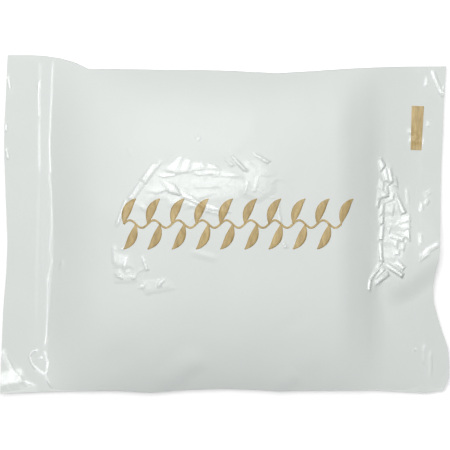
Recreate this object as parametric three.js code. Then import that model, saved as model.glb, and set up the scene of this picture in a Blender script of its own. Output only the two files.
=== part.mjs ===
// A folded shower cap sealed in a milky film sachet, lying on its back.
//
// The sachet is one web of film folded into a flat tube, joined by a fin seam down its back and
// closed by a welded band near each end, with loose skirts of film outside the bands. The left end
// tears off along a line across the film, and the folded cap then slides out to the left.
// Lengths are in millimetres. +X runs along the sachet, +Y across it and +Z up out of its front.
import * as THREE from 'three';

// Sachet, as cut and as filled
const SACHET_LENGTH = 120;
const LAYFLAT_WIDTH = 90.5;
const FILM_WALL = 0.3;
const GAP = 0.3;

// The filling draws the side folds in from the lay-flat width and lifts them off the table
const TOP_DRAW = 4;
const BOTTOM_DRAW = 0.8;
const RIGHT_END_DRAW = 3;
const FOLD_HEIGHT = 3.2;
const FOLD_ROLL = 6;
const DOME_POWER = 3.8;

// Cut edges: the left one slants, the right one bows in and has a dent where its skirt folds
const LEFT_SLANT = 2;
const RIGHT_BOW = 2.2;
const RIGHT_DENT = 2.4;
const RIGHT_DENT_BELOW_MIDDLE = 16;
const RIGHT_DENT_HALF_WIDTH = 8;

// Skirts and welded bands. The front rises from the left band over a long way. On the right it falls off the
// end of the cap to an apron of film that lies almost flat
const LEFT_SKIRT = 9.1;
const LEFT_SEAL = 3.2;
const LEFT_SHOULDER = 13.5;
const LEFT_RISE = 32;
const RIGHT_SKIRT = 5;
const RIGHT_SEAL = 1.6;
const RIGHT_APRON = 12;
const RIGHT_FALL = 15;

// Fin seam on the back, folded flat towards +Y
const FIN_WIDTH = 9;
const FIN_RAMP = 3;

// Folded cap: a crown of film in leaves, with the gathered hem and its elastic in the middle
const LEAF_WALL = 0.6;
const LEAF_GAP = 0.3;
const LEAF_COUNT_UNDER_HEM = 2;
const LEAF_COUNT_OVER_HEM = 1;
const CAP_CLEARANCE = 0.3;
const CAP_END_CLEARANCE = 1.5;
const CAP_HEADROOM = 0.7;
const HEM_WALL = 0.3;
const HEM_ROOM = 1.6;
const HEM_SLOT = 0.6;
const HEM_CORNER = 14;
const ELASTIC_DIAMETER = 1;

// Facets: cells along and across each kind of sheet, and steps round folds and loops
const MIDDLE_CELLS = 9;
const FALL_CELLS = 6;
const APRON_CELLS = 3;
const SHOULDER_CELLS = 8;
const STRIP_CELLS = 2;
const FRONT_ACROSS_CELLS = 20;
const BACK_ACROSS_CELLS = 12;
const FOLD_STEPS = 8;
const LOOP_STEPS = 48;
const ELASTIC_SIDES = 6;

// Heights at the ends: the fin lies on the table, and the two plies lie a gap apart above it
const FIN_THICKNESS = 2 * FILM_WALL;
const PLY_OFFSET = (FILM_WALL + GAP) / 2;
const BACK_PLY_OVER_FIN = FIN_THICKNESS + GAP + FILM_WALL / 2;
const SEAL_MIDDLE = BACK_PLY_OVER_FIN + PLY_OFFSET;
const SEAL_THICKNESS = 2 * FILM_WALL + GAP;

// The hem is folded loosely over the elastic. Along the tear line the film is high enough for the cap
// to slide out under it, and it goes on rising from there to its crest
const HEM_HEIGHT = ELASTIC_DIAMETER + 2 * GAP + 2 * HEM_WALL;
const HEM_DEPTH = ELASTIC_DIAMETER + HEM_ROOM + 2 * HEM_WALL;
const HEM_SPACE = HEM_HEIGHT + 2 * GAP;
const LEAF_COUNT = LEAF_COUNT_UNDER_HEM + LEAF_COUNT_OVER_HEM;
const CAP_BOTTOM = BACK_PLY_OVER_FIN + FILM_WALL / 2 + GAP;
const CAP_TOP = CAP_BOTTOM + LEAF_COUNT * LEAF_WALL + (LEAF_COUNT - 2) * LEAF_GAP + HEM_SPACE;
const FOLD_EDGE = FOLD_HEIGHT + PLY_OFFSET;
const OPENING_HEIGHT = CAP_TOP + CAP_HEADROOM + FILM_WALL / 2;
const RISE_AT_TEAR = risen(LEFT_SHOULDER, LEFT_RISE);
const CREST_HEIGHT = FOLD_EDGE + (OPENING_HEIGHT - FOLD_EDGE) / RISE_AT_TEAR;

const materials = {
  film: new THREE.MeshStandardMaterial({ color: 0xdfe2e1, roughness: 0.3, metalness: 0 }),
  weld: new THREE.MeshStandardMaterial({ color: 0xd6dad9, roughness: 0.22, metalness: 0 }),
  capFilm: new THREE.MeshStandardMaterial({ color: 0xe8edee, roughness: 0.4, metalness: 0 }),
  elastic: new THREE.MeshStandardMaterial({ color: 0xf3f2ec, roughness: 0.7, metalness: 0 }),
};

const { lerp, smoothstep } = THREE.MathUtils;

// Cut edges, for a place across the film from -1 at the bottom fold to 1 at the top fold
function leftCut(across) {
  return -SACHET_LENGTH / 2 + (LEFT_SLANT * (1 + across)) / 2;
}

function rightCut(across) {
  const fromDent = ((across * LAYFLAT_WIDTH) / 2 + RIGHT_DENT_BELOW_MIDDLE) / RIGHT_DENT_HALF_WIDTH;
  const dent = RIGHT_DENT * Math.exp(-fromDent * fromDent);
  return SACHET_LENGTH / 2 - RIGHT_BOW * (1 - across * across) - dent;
}

// Lines across the film, from the left cut edge to the right one
const leftSealOuter = (across) => leftCut(across) + LEFT_SKIRT;
const leftSealInner = (across) => leftSealOuter(across) + LEFT_SEAL;
const tearLine = leftSealInner(0) + LEFT_SHOULDER;
const apronStart = rightCut(1) - RIGHT_SKIRT - RIGHT_SEAL - RIGHT_APRON;
const crestEnd = apronStart - RIGHT_FALL;
const rightSealOuter = (across) => rightCut(across) - RIGHT_SKIRT;
const rightSealInner = (across) => rightSealOuter(across) - RIGHT_SEAL;

// Where the front has fallen as low on the right as it is along the tear line, by the inverse of smoothstep
const filledEnd = crestEnd + RIGHT_FALL * (0.5 - Math.sin(Math.asin(2 * RISE_AT_TEAR - 1) / 3));

// Share of the front ply's rise at a distance from the left band: steepest at the band
function risen(distance, length) {
  const left = 1 - THREE.MathUtils.clamp(distance / length, 0, 1);
  return 1 - left * left;
}

function frontRise(x, across) {
  const fromLeft = risen(x - leftSealInner(across), LEFT_RISE);
  const fromRight = 1 - smoothstep(x, crestEnd, apronStart);
  return Math.min(fromLeft, fromRight);
}

// How full the sachet is along its back and folds: 0 at the welded bands, 1 over the folded cap
function fullness(x, across) {
  const left = smoothstep(x, leftSealInner(across), tearLine);
  const right = 1 - smoothstep(x, filledEnd, rightSealInner(across));
  return Math.min(left, right);
}

// The side folds, drawn in where the sachet is full
function topFold(x) {
  const left = smoothstep(x, leftSealInner(1), tearLine);
  const right = smoothstep(x, filledEnd, rightSealInner(1));
  return LAYFLAT_WIDTH / 2 - lerp(TOP_DRAW * left, RIGHT_END_DRAW, right);
}

function bottomFold(x) {
  return -LAYFLAT_WIDTH / 2 + BOTTOM_DRAW * fullness(x, -1);
}

function acrossToY(x, across) {
  return across >= 0 ? across * topFold(x) : -across * bottomFold(x);
}

// Middle of the front ply: a flat-topped dome that falls to the folds and to the welded bands
function frontHeight(x, across) {
  const full = fullness(x, across);
  const edge = lerp(SEAL_MIDDLE, FOLD_HEIGHT, full) + PLY_OFFSET;
  const dome = 1 - Math.abs(across) ** DOME_POWER;
  return edge + (CREST_HEIGHT - edge) * frontRise(x, across) * dome;
}

// Middle of the back ply: flat on the table, raised over the fin and rolled up to the folds
function backHeight(x, y, across) {
  const full = fullness(x, across);
  const toFold = across >= 0 ? topFold(x) - y : y - bottomFold(x);
  const roll = Math.max(0, 1 - toFold / FOLD_ROLL) ** 2;
  const offFin = across < 0 ? 1 : smoothstep(y, FIN_WIDTH + GAP, FIN_WIDTH + GAP + FIN_RAMP);
  const flat = lerp(BACK_PLY_OVER_FIN, FILM_WALL / 2, offFin);
  const rolled = lerp(flat, FOLD_HEIGHT - PLY_OFFSET, roll);
  return lerp(SEAL_MIDDLE - PLY_OFFSET, rolled, full);
}

// A sheet of film: a thin box bent so that its middle lies where place(along, across) says,
// with half of its wall on each side
function filmSheet(name, material, place, cellsAlong, cellsAcross, wall = FILM_WALL) {
  const geometry = new THREE.BoxGeometry(1, 1, 1, cellsAlong, cellsAcross, 1);
  const position = geometry.getAttribute('position');
  const step = 1e-4;
  for (let i = 0; i < position.count; i += 1) {
    const along = position.getX(i) + 0.5;
    const across = position.getY(i) + 0.5;
    const back = Math.max(along - step, 0);
    const down = Math.max(across - step, 0);
    const alongX = place(Math.min(along + step, 1), across).sub(place(back, across));
    const alongY = place(along, Math.min(across + step, 1)).sub(place(along, down));
    const normal = alongX.cross(alongY).normalize();
    const point = place(along, across).addScaledVector(normal, position.getZ(i) * wall);
    position.setXYZ(i, point.x, point.y, point.z);
  }
  geometry.computeVertexNormals();
  const mesh = new THREE.Mesh(geometry, material.clone());
  mesh.name = name;
  return mesh;
}

// A stretch of the sachet: lines across the film, with the cells of a sheet between each two lines
function stretch(lines, cells) {
  const total = cells.reduce((sum, count) => sum + count, 0);
  const lineX = (along, across) => {
    let cell = along * total;
    let part = 0;
    while (part < cells.length - 1 && cell > cells[part]) {
      cell -= cells[part];
      part += 1;
    }
    return lerp(lines[part](across), lines[part + 1](across), cell / cells[part]);
  };
  return { total, lineX };
}

// Front ply along a stretch of the sachet
function frontSheet(name, { total, lineX }) {
  const place = (along, up) => {
    const across = Math.sin((up - 0.5) * Math.PI);
    const x = lineX(along, across);
    return new THREE.Vector3(x, acrossToY(x, across), frontHeight(x, across));
  };
  return filmSheet(name, materials.film, place, total, FRONT_ACROSS_CELLS);
}

// Back ply on one side of the fin seam, along a stretch of the sachet
function backSheet(name, isUpper, { total, lineX }) {
  const seam = isUpper ? GAP / 2 : -GAP / 2;
  const place = (along, up) => {
    const across = isUpper ? up : up - 1;
    const x = lineX(along, across);
    const y = isUpper ? lerp(seam, topFold(x), up) : lerp(bottomFold(x), seam, up);
    return new THREE.Vector3(x, y, backHeight(x, y, across));
  };
  return filmSheet(name, materials.film, place, total, BACK_ACROSS_CELLS);
}

// A flat strip across the whole film, such as a welded band or one ply of a skirt
function flatStrip(name, material, fromLine, toLine, height, wall) {
  const place = (along, up) => {
    const across = up * 2 - 1;
    const x = lerp(fromLine(across), toLine(across), along);
    return new THREE.Vector3(x, acrossToY(x, across), height);
  };
  return filmSheet(name, material, place, STRIP_CELLS, FRONT_ACROSS_CELLS, wall);
}

// The fin seam between two lines across the film
function finStrip(name, fromLine, toLine) {
  const place = (along, up) => {
    const y = lerp(GAP / 2, FIN_WIDTH, up);
    const across = y / (LAYFLAT_WIDTH / 2);
    return new THREE.Vector3(lerp(fromLine(across), toLine(across), along), y, FIN_THICKNESS / 2);
  };
  return filmSheet(name, materials.weld, place, STRIP_CELLS, STRIP_CELLS, FIN_THICKNESS);
}

// A line moved along the sachet
const moved = (line, by) => (across) => line(across) + by;
const afterTear = () => tearLine + GAP / 2;
const beforeTear = () => tearLine - GAP / 2;

// The sachet that stays behind: filled middle, right fall and apron, right band and right skirt
function sachet() {
  const group = new THREE.Group();
  const beforeSeal = moved(rightSealInner, -GAP);
  const skirtStart = moved(rightSealOuter, GAP);
  const lines = [afterTear, () => crestEnd, () => apronStart, beforeSeal];
  const filled = stretch(lines, [MIDDLE_CELLS, FALL_CELLS, APRON_CELLS]);
  group.add(
    frontSheet('front_panel', filled),
    backSheet('back_panel_upper', true, filled),
    backSheet('back_panel_lower', false, filled),
    finStrip('back_fin_seam', afterTear, rightCut),
    flatStrip('right_end_seal', materials.weld, rightSealInner, rightSealOuter, SEAL_MIDDLE, SEAL_THICKNESS),
    flatStrip('right_skirt_front', materials.film, skirtStart, rightCut, SEAL_MIDDLE + PLY_OFFSET, FILM_WALL),
    flatStrip('right_skirt_back', materials.film, skirtStart, rightCut, SEAL_MIDDLE - PLY_OFFSET, FILM_WALL),
  );
  return group;
}

// The end that tears off: left skirt, left band and left shoulder
function tearOffEnd() {
  const group = new THREE.Group();
  const skirtEnd = moved(leftSealOuter, -GAP);
  const shoulder = stretch([moved(leftSealInner, GAP), beforeTear], [SHOULDER_CELLS]);
  group.add(
    flatStrip('left_skirt_front', materials.film, leftCut, skirtEnd, SEAL_MIDDLE + PLY_OFFSET, FILM_WALL),
    flatStrip('left_skirt_back', materials.film, leftCut, skirtEnd, SEAL_MIDDLE - PLY_OFFSET, FILM_WALL),
    flatStrip('left_end_seal', materials.weld, leftSealOuter, leftSealInner, SEAL_MIDDLE, SEAL_THICKNESS),
    frontSheet('left_shoulder_front', shoulder),
    backSheet('left_shoulder_back_upper', true, shoulder),
    backSheet('left_shoulder_back_lower', false, shoulder),
    finStrip('left_fin_seam', leftCut, beforeTear),
  );
  return group;
}

// Ends of the folded cap, inside the filled middle
const capStart = tearLine + CAP_END_CLEARANCE;
const capEnd = filledEnd - CAP_END_CLEARANCE;

// Height of the middle of each leaf, from the lowest up, with room for the hem between two of them
function leafHeights() {
  const heights = [];
  let bottom = CAP_BOTTOM;
  for (let leaf = 0; leaf < LEAF_COUNT; leaf += 1) {
    heights.push(bottom + LEAF_WALL / 2);
    bottom += LEAF_WALL + (leaf === LEAF_COUNT_UNDER_HEM - 1 ? HEM_SPACE : LEAF_GAP);
  }
  return heights;
}

// Half the width of a leaf, so that it clears the folds and the front ply along the tear line
function leafHalfWidth(height) {
  const middle = (tearLine + filledEnd) / 2;
  const top = height + LEAF_WALL / 2 + FILM_WALL / 2 + CAP_CLEARANCE;
  const share = Math.max(0, (top - FOLD_EDGE) / (OPENING_HEIGHT - FOLD_EDGE));
  const underDome = (1 - share) ** (1 / DOME_POWER);
  const side = Math.min(topFold(middle), -bottomFold(middle));
  return Math.min(side * underDome - CAP_CLEARANCE, side - FOLD_ROLL - CAP_CLEARANCE);
}

// The crown: one film folded to and fro in leaves, drawn as its section and run along the sachet
function crown() {
  const heights = leafHeights();
  const middle = [];
  const turn = (fold) => {
    const side = fold % 2 === 0 ? 1 : -1;
    const radius = (heights[fold + 1] - heights[fold]) / 2;
    const reach = leafHalfWidth(heights[fold + 1]) - radius - LEAF_WALL / 2;
    for (let step = 0; step <= FOLD_STEPS; step += 1) {
      const angle = -Math.PI / 2 + (Math.PI * step) / FOLD_STEPS;
      const y = side * (reach + radius * Math.cos(angle));
      middle.push(new THREE.Vector2(y, heights[fold] + radius * (1 + Math.sin(angle))));
    }
  };
  const last = heights.length - 1;
  const lastSide = last % 2 === 0 ? 1 : -1;
  middle.push(new THREE.Vector2(-leafHalfWidth(heights[0]), heights[0]));
  for (let fold = 0; fold < last; fold += 1) turn(fold);
  middle.push(new THREE.Vector2(lastSide * leafHalfWidth(heights[last]), heights[last]));

  const left = [];
  const right = [];
  middle.forEach((point, i) => {
    const before = middle[Math.max(i - 1, 0)];
    const after = middle[Math.min(i + 1, middle.length - 1)];
    const direction = after.clone().sub(before).normalize();
    const offset = new THREE.Vector2(-direction.y, direction.x).multiplyScalar(LEAF_WALL / 2);
    left.push(point.clone().add(offset));
    right.push(point.clone().sub(offset));
  });
  const section = new THREE.Shape([...right, ...left.reverse()]);
  const geometry = new THREE.ExtrudeGeometry(section, { depth: capEnd - capStart, bevelEnabled: false });
  const mesh = new THREE.Mesh(geometry, materials.capFilm.clone());
  mesh.name = 'cap_crown';
  mesh.rotation.set(0, Math.PI / 2, Math.PI / 2, 'YXZ');
  mesh.position.x = capStart;
  return mesh;
}

// The rounded rectangle that the middle of the relaxed hem follows, between the leaves
function hemRoute() {
  const heights = leafHeights();
  const over = heights[LEAF_COUNT_UNDER_HEM];
  const foldDepth = (over - heights[LEAF_COUNT_UNDER_HEM - 1] + LEAF_WALL) / 2;
  const halfX = (capEnd - capStart) / 2 - GAP - HEM_DEPTH / 2;
  const halfY = leafHalfWidth(over) - foldDepth - GAP - HEM_DEPTH / 2;
  const inX = halfX - HEM_CORNER;
  const inY = halfY - HEM_CORNER;
  const route = new THREE.Path();
  [[inX, inY, 0], [-inX, inY, 1], [-inX, -inY, 2], [inX, -inY, 3]].forEach(([x, y, quarter]) => {
    const start = (quarter * Math.PI) / 2;
    route.absarc(x, y, HEM_CORNER, start, start + Math.PI / 2);
  });
  route.closePath();
  return route;
}

// A closed loop along the hem's route, with a section whose points are outwards and up from it
function hemLoop(name, material, section) {
  const route = hemRoute();
  const geometry = new THREE.TorusGeometry(1, 0.5, section.length, LOOP_STEPS);
  const position = geometry.getAttribute('position');
  const uv = geometry.getAttribute('uv');
  for (let i = 0; i < position.count; i += 1) {
    const along = uv.getX(i) % 1;
    const corner = section[Math.round(uv.getY(i) * section.length) % section.length];
    const point = route.getPointAt(along);
    const direction = route.getTangentAt(along);
    position.setXYZ(i, point.x + direction.y * corner.x, point.y - direction.x * corner.x, corner.y);
  }
  geometry.computeVertexNormals();
  const mesh = new THREE.Mesh(geometry, material.clone());
  mesh.name = name;
  const heights = leafHeights();
  const middle = (heights[LEAF_COUNT_UNDER_HEM - 1] + heights[LEAF_COUNT_UNDER_HEM]) / 2;
  mesh.position.set((capStart + capEnd) / 2, 0, middle);
  return mesh;
}

// The hem: film folded over the elastic, with a slot left along its inner side
function hem() {
  const outer = HEM_DEPTH / 2;
  const top = HEM_HEIGHT / 2;
  const slot = HEM_SLOT / 2;
  const half = [
    new THREE.Vector2(-outer, slot),
    new THREE.Vector2(-outer + HEM_WALL, slot),
    new THREE.Vector2(-outer + HEM_WALL, top - HEM_WALL),
    new THREE.Vector2(outer - HEM_WALL, top - HEM_WALL),
  ];
  const otherHalf = half.map((p) => new THREE.Vector2(p.x, -p.y)).reverse();
  const outside = [
    new THREE.Vector2(-outer, -top),
    new THREE.Vector2(outer, -top),
    new THREE.Vector2(outer, top),
    new THREE.Vector2(-outer, top),
  ];
  return hemLoop('cap_hem', materials.capFilm, [...outside, ...half, ...otherHalf]);
}

function elastic() {
  const section = [];
  for (let side = 0; side < ELASTIC_SIDES; side += 1) {
    const angle = (2 * Math.PI * side) / ELASTIC_SIDES;
    const spoke = new THREE.Vector2(Math.cos(angle), Math.sin(angle));
    section.push(spoke.multiplyScalar(ELASTIC_DIAMETER / 2));
  }
  return hemLoop('cap_elastic', materials.elastic, section);
}

function foldedCap() {
  const group = new THREE.Group();
  group.add(crown(), hem(), elastic());
  return group;
}

const packedCap = new THREE.Group();
packedCap.add(sachet(), tearOffEnd(), foldedCap());

export default packedCap;
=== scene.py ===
"""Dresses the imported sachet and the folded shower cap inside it.

The sachet is one web of milky film, folded into a tube and welded near each end. Its front is crumpled
where the cap presses on it. All its sheets are cut from one shared form, so that neighbours meet exactly.
Lengths inside the classes are millimetres in the part's own frame. Meshes, bumps, lamps and the floor are
in metres.
"""

import logging
import math
from dataclasses import dataclass, field
from enum import Enum
from typing import Any, Callable, Sequence, Union

import bmesh
import bpy
import numpy as np
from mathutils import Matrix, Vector


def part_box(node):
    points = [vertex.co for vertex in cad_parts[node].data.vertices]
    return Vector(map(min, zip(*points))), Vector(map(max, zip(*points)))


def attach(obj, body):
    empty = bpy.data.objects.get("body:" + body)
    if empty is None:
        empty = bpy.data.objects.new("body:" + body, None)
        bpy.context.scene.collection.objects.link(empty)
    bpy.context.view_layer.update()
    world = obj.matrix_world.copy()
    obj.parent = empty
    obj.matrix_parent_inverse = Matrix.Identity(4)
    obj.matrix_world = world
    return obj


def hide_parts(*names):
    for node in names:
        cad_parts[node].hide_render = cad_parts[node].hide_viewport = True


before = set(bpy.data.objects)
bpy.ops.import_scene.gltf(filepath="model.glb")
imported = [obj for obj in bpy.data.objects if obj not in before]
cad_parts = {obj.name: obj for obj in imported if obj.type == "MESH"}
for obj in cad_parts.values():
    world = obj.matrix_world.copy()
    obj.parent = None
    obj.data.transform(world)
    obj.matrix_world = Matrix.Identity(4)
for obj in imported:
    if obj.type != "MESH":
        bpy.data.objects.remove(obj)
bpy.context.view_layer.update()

MM = 0.001
GLOSS = "gloss"
# Gloss of full, smooth film; creases shine above it
SATIN = 0.55
LOG = logging.getLogger("sachet")

Link = bpy.types.NodeSocket
Piece = bpy.types.Object
Material = bpy.types.Material
Grid = np.ndarray
Number = Union[float, Grid]
Pair = tuple[float, float]
Triple = tuple[float, float, float]
Points = tuple[Pair, ...]
Line = Callable[[Grid], Grid]
Surface = Callable[[Grid, Grid], tuple[Grid, Grid]]


def smoothstep(value: Grid, low: Number, high: Number) -> Grid:
    """Eases from 0 at one place to 1 at another.

    Args:
        value: Where to read the step.
        low: Where the step starts.
        high: Where it ends.

    Returns:
        The eased share, in the shape of value.
    """
    share = np.clip((value - low) / (high - low), 0.0, 1.0)
    return share * share * (3.0 - 2.0 * share)


def lerp(start: Number, end: Number, share: Number) -> Number:
    """Mixes two values by a share."""
    return start + (end - start) * share


def put_in_scene(name: str, data: bpy.types.ID) -> Piece:
    """Puts a new object into the scene.

    Args:
        name: The object's name.
        data: Its mesh, curve, lamp or camera.

    Returns:
        The object.
    """
    thing = bpy.data.objects.new(name, data)
    bpy.context.scene.collection.objects.link(thing)
    return thing


# Node trees


class Socket:
    """A number socket that can be used in Python sums."""

    def __init__(self, tree: "NodeTree", socket: Link) -> None:
        """Wraps an output socket."""
        self.tree = tree
        self.socket = socket

    def _math(self, operation: str, first: Any, second: Any) -> "Socket":
        """Adds a Math node for two values."""
        return self.tree.value("ShaderNodeMath", {"operation": operation}, {0: first, 1: second})

    def __add__(self, other: Any) -> "Socket":
        """Sum."""
        return self._math("ADD", self, other)

    def __sub__(self, other: Any) -> "Socket":
        """Difference."""
        return self._math("SUBTRACT", self, other)

    def __rsub__(self, other: Any) -> "Socket":
        """Difference with the other value first."""
        return self._math("SUBTRACT", other, self)

    def __mul__(self, other: Any) -> "Socket":
        """Product."""
        return self._math("MULTIPLY", self, other)

    def __mod__(self, other: Any) -> "Socket":
        """Remainder."""
        return self._math("MODULO", self, other)

    def __rmod__(self, other: Any) -> "Socket":
        """Remainder with the other value first."""
        return self._math("MODULO", other, self)

    __radd__ = __add__
    __rmul__ = __mul__

    def sine(self) -> "Socket":
        """Sine of the value in radians."""
        return self.tree.value("ShaderNodeMath", {"operation": "SINE"}, {0: self})

    def capped(self) -> "Socket":
        """The value held between 0 and 1."""
        return self.tree.value("ShaderNodeClamp", {}, {"Value": self})


class NodeTree:
    """A node tree that is filled from Python."""

    def __init__(self, tree: bpy.types.NodeTree) -> None:
        """Takes over a tree and empties it."""
        self.tree = tree
        tree.nodes.clear()

    def join(self, node: bpy.types.Node, inputs: dict[Any, Any]) -> None:
        """Sets or links a node's inputs.

        Args:
            node: The node.
            inputs: Numbers, sockets or wrapped sockets, by the input's name or place.
        """
        for name, given in inputs.items():
            if isinstance(given, Socket):
                self.tree.links.new(given.socket, node.inputs[name])
            elif isinstance(given, Link):
                self.tree.links.new(given, node.inputs[name])
            else:
                node.inputs[name].default_value = given

    def node(self, kind: str, settings: dict[str, Any], inputs: dict[Any, Any]) -> bpy.types.Node:
        """Adds a node.

        Args:
            kind: Blender's name for the node's type.
            settings: Properties of the node, set first.
            inputs: Numbers or links of its inputs.

        Returns:
            The new node.
        """
        node = self.tree.nodes.new(kind)
        for name, setting in settings.items():
            setattr(node, name, setting)
        self.join(node, inputs)
        return node

    def link(self, kind: str, settings: dict[str, Any], inputs: dict[Any, Any], out: Any = 0) -> Link:
        """Adds a node and takes the output that has a name or a place."""
        return self.node(kind, settings, inputs).outputs[out]

    def value(self, kind: str, settings: dict[str, Any], inputs: dict[Any, Any], out: Any = 0) -> Socket:
        """Adds a node and wraps the output that has a name or a place."""
        return Socket(self, self.link(kind, settings, inputs, out))

    def vector(self, **parts: Any) -> Link:
        """A vector from its X, Y and Z; those left out are 0."""
        return self.link("ShaderNodeCombineXYZ", {}, parts)

    def seen(self) -> Socket:
        """Tells rays that show things from rays that carry light.

        Returns:
            1 for rays from the camera, a gloss or a clear surface, and 0 for others.
        """
        path = self.node("ShaderNodeLightPath", {}, {})
        rays = ("Is Camera Ray", "Is Glossy Ray", "Is Transmission Ray")
        camera, gloss, clear = (Socket(self, path.outputs[ray]) for ray in rays)
        return (camera + gloss + clear).capped()


class SurfaceTree(NodeTree):
    """A material with one Principled surface."""

    def __init__(self, name: str) -> None:
        """Makes an empty material.

        Args:
            name: The material's name.
        """
        self.material = bpy.data.materials.new(name)
        self.material.use_nodes = True
        super().__init__(self.material.node_tree)
        self.surface = self.node("ShaderNodeBsdfPrincipled", {}, {})
        self.node("ShaderNodeOutputMaterial", {}, {"Surface": self.surface.outputs[0]})

    def place(self) -> Link:
        """Object coordinates."""
        return self.link("ShaderNodeTexCoord", {}, {}, "Object")

    def stretched(self, scale: Sequence[float]) -> Link:
        """Object coordinates, scaled along each axis."""
        return self.link("ShaderNodeMapping", {}, {"Vector": self.place(), "Scale": scale})

    def gloss(self) -> Socket:
        """The gloss that is kept in the mesh."""
        return self.value("ShaderNodeAttribute", {"attribute_name": GLOSS}, {}, "Fac")

    def noise(self, place: Link, scale: float, detail: float = 2.0, roughness: float = 0.5) -> Socket:
        """Smooth noise around a half.

        Args:
            place: Coordinates to read it at.
            scale: Waves for each metre.
            detail: Number of finer layers.
            roughness: Strength of the finer layers.

        Returns:
            The noise.
        """
        inputs = {"Vector": place, "Scale": scale, "Detail": detail, "Roughness": roughness}
        return self.value("ShaderNodeTexNoise", {}, inputs)

    def mixed(self, share: Socket, first: Triple, second: Triple) -> Link:
        """A colour between two colours, by the share of the second.

        Args:
            share: How much there is of the second.
            first: Colour at 0.
            second: Colour at 1.

        Returns:
            The colour's socket.
        """
        factor, first_colour, second_colour, result = 0, 6, 7, 2
        inputs = {factor: share, first_colour: (*first, 1.0), second_colour: (*second, 1.0)}
        return self.link("ShaderNodeMix", {"data_type": "RGBA"}, inputs, result)

    def bump(self, height: Socket, depth: float) -> Link:
        """A normal bent by bumps of a depth in metres."""
        inputs = {"Height": height, "Distance": depth, "Strength": 1.0}
        return self.link("ShaderNodeBump", {}, inputs)

    def finish(self, inputs: dict[str, Any]) -> Material:
        """Sets or links the surface's inputs and hands over the material."""
        self.join(self.surface, inputs)
        return self.material


class GeometryTree(NodeTree):
    """A Geometry Nodes tree with named inputs, run once on an object."""

    def __init__(self, name: str, material: Material) -> None:
        """Makes an empty tree.

        Args:
            name: The tree's name.
            material: What the result is made of.
        """
        super().__init__(bpy.data.node_groups.new(name, "GeometryNodeTree"))
        self.material = material
        self.given: dict[str, Any] = {}
        for way in ("INPUT", "OUTPUT"):
            self.tree.interface.new_socket("Geometry", in_out=way, socket_type="NodeSocketGeometry")
        self.start = self.node("NodeGroupInput", {}, {})

    def number(self, name: str, value: Union[int, float]) -> Socket:
        """Adds a named input.

        Args:
            name: The input's name.
            value: The number that it is given on the object.

        Returns:
            The input, for use in the tree.
        """
        kind = "NodeSocketInt" if isinstance(value, int) else "NodeSocketFloat"
        socket = self.tree.interface.new_socket(name, in_out="INPUT", socket_type=kind)
        self.given[socket.identifier] = value
        return Socket(self, self.start.outputs[name])

    def run(self, piece: Piece, geometry: Link) -> Piece:
        """Ends the tree, runs it on an object and keeps the plain mesh.

        Args:
            piece: Object that the tree is run on; it is taken away afterwards.
            geometry: Last geometry of the tree.

        Returns:
            A new object with the resulting mesh.
        """
        whole = self.link("GeometryNodeRealizeInstances", {}, {"Geometry": geometry})
        dressed = self.link("GeometryNodeSetMaterial", {}, {"Geometry": whole, "Material": self.material})
        self.node("NodeGroupOutput", {}, {0: dressed})
        modifier = piece.modifiers.new("shape", "NODES")
        modifier.node_group = self.tree
        for identifier, value in self.given.items():
            modifier[identifier] = value
        graph = bpy.context.evaluated_depsgraph_get()
        mesh = bpy.data.meshes.new_from_object(piece.evaluated_get(graph))
        name = piece.name
        bpy.data.objects.remove(piece)
        return put_in_scene(name, mesh)


# Finishes


@dataclass(frozen=True)
class FilmFinish:
    """Milky film: dull where it is slack, satin where it is full, and shiny where it is creased."""

    name: str = "milky_film"
    light: Triple = (0.800, 0.838, 0.812)
    dark: Triple = (0.768, 0.806, 0.782)
    dull: float = 0.66
    creased: float = 0.26
    cloud_scale: float = 38.0
    drift_scale: float = 190.0
    drift: float = 0.1
    crinkles: Triple = (640.0, 380.0, 400.0)
    crinkle_depth: float = 0.00022
    slack_crinkle: float = 0.12
    coat_start: float = 0.2
    coat_gain: float = 2.6
    coat_roughness: float = 0.16
    refraction: float = 1.49

    def material(self) -> Material:
        """Builds the material.

        Returns:
            The material.
        """
        tree = SurfaceTree(self.name)
        place = tree.place()
        gloss = tree.gloss()
        cloud = tree.noise(place, self.cloud_scale, detail=3.0)
        drift = tree.noise(place, self.drift_scale)
        crinkle = tree.noise(tree.stretched(self.crinkles), 1.0, detail=3.0, roughness=0.6)
        crease = ((gloss - SATIN) * (1.0 / (1.0 - SATIN))).capped()
        return tree.finish({
            "Base Color": tree.mixed(cloud, self.dark, self.light),
            "Roughness": self.dull - gloss * (self.dull - self.creased) + (drift - 0.5) * self.drift,
            "Coat Weight": crease * ((crinkle - self.coat_start) * self.coat_gain).capped(),
            "Coat Roughness": self.coat_roughness,
            "IOR": self.refraction,
            "Normal": tree.bump(crinkle * (self.slack_crinkle + crease), self.crinkle_depth),
        })


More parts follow.
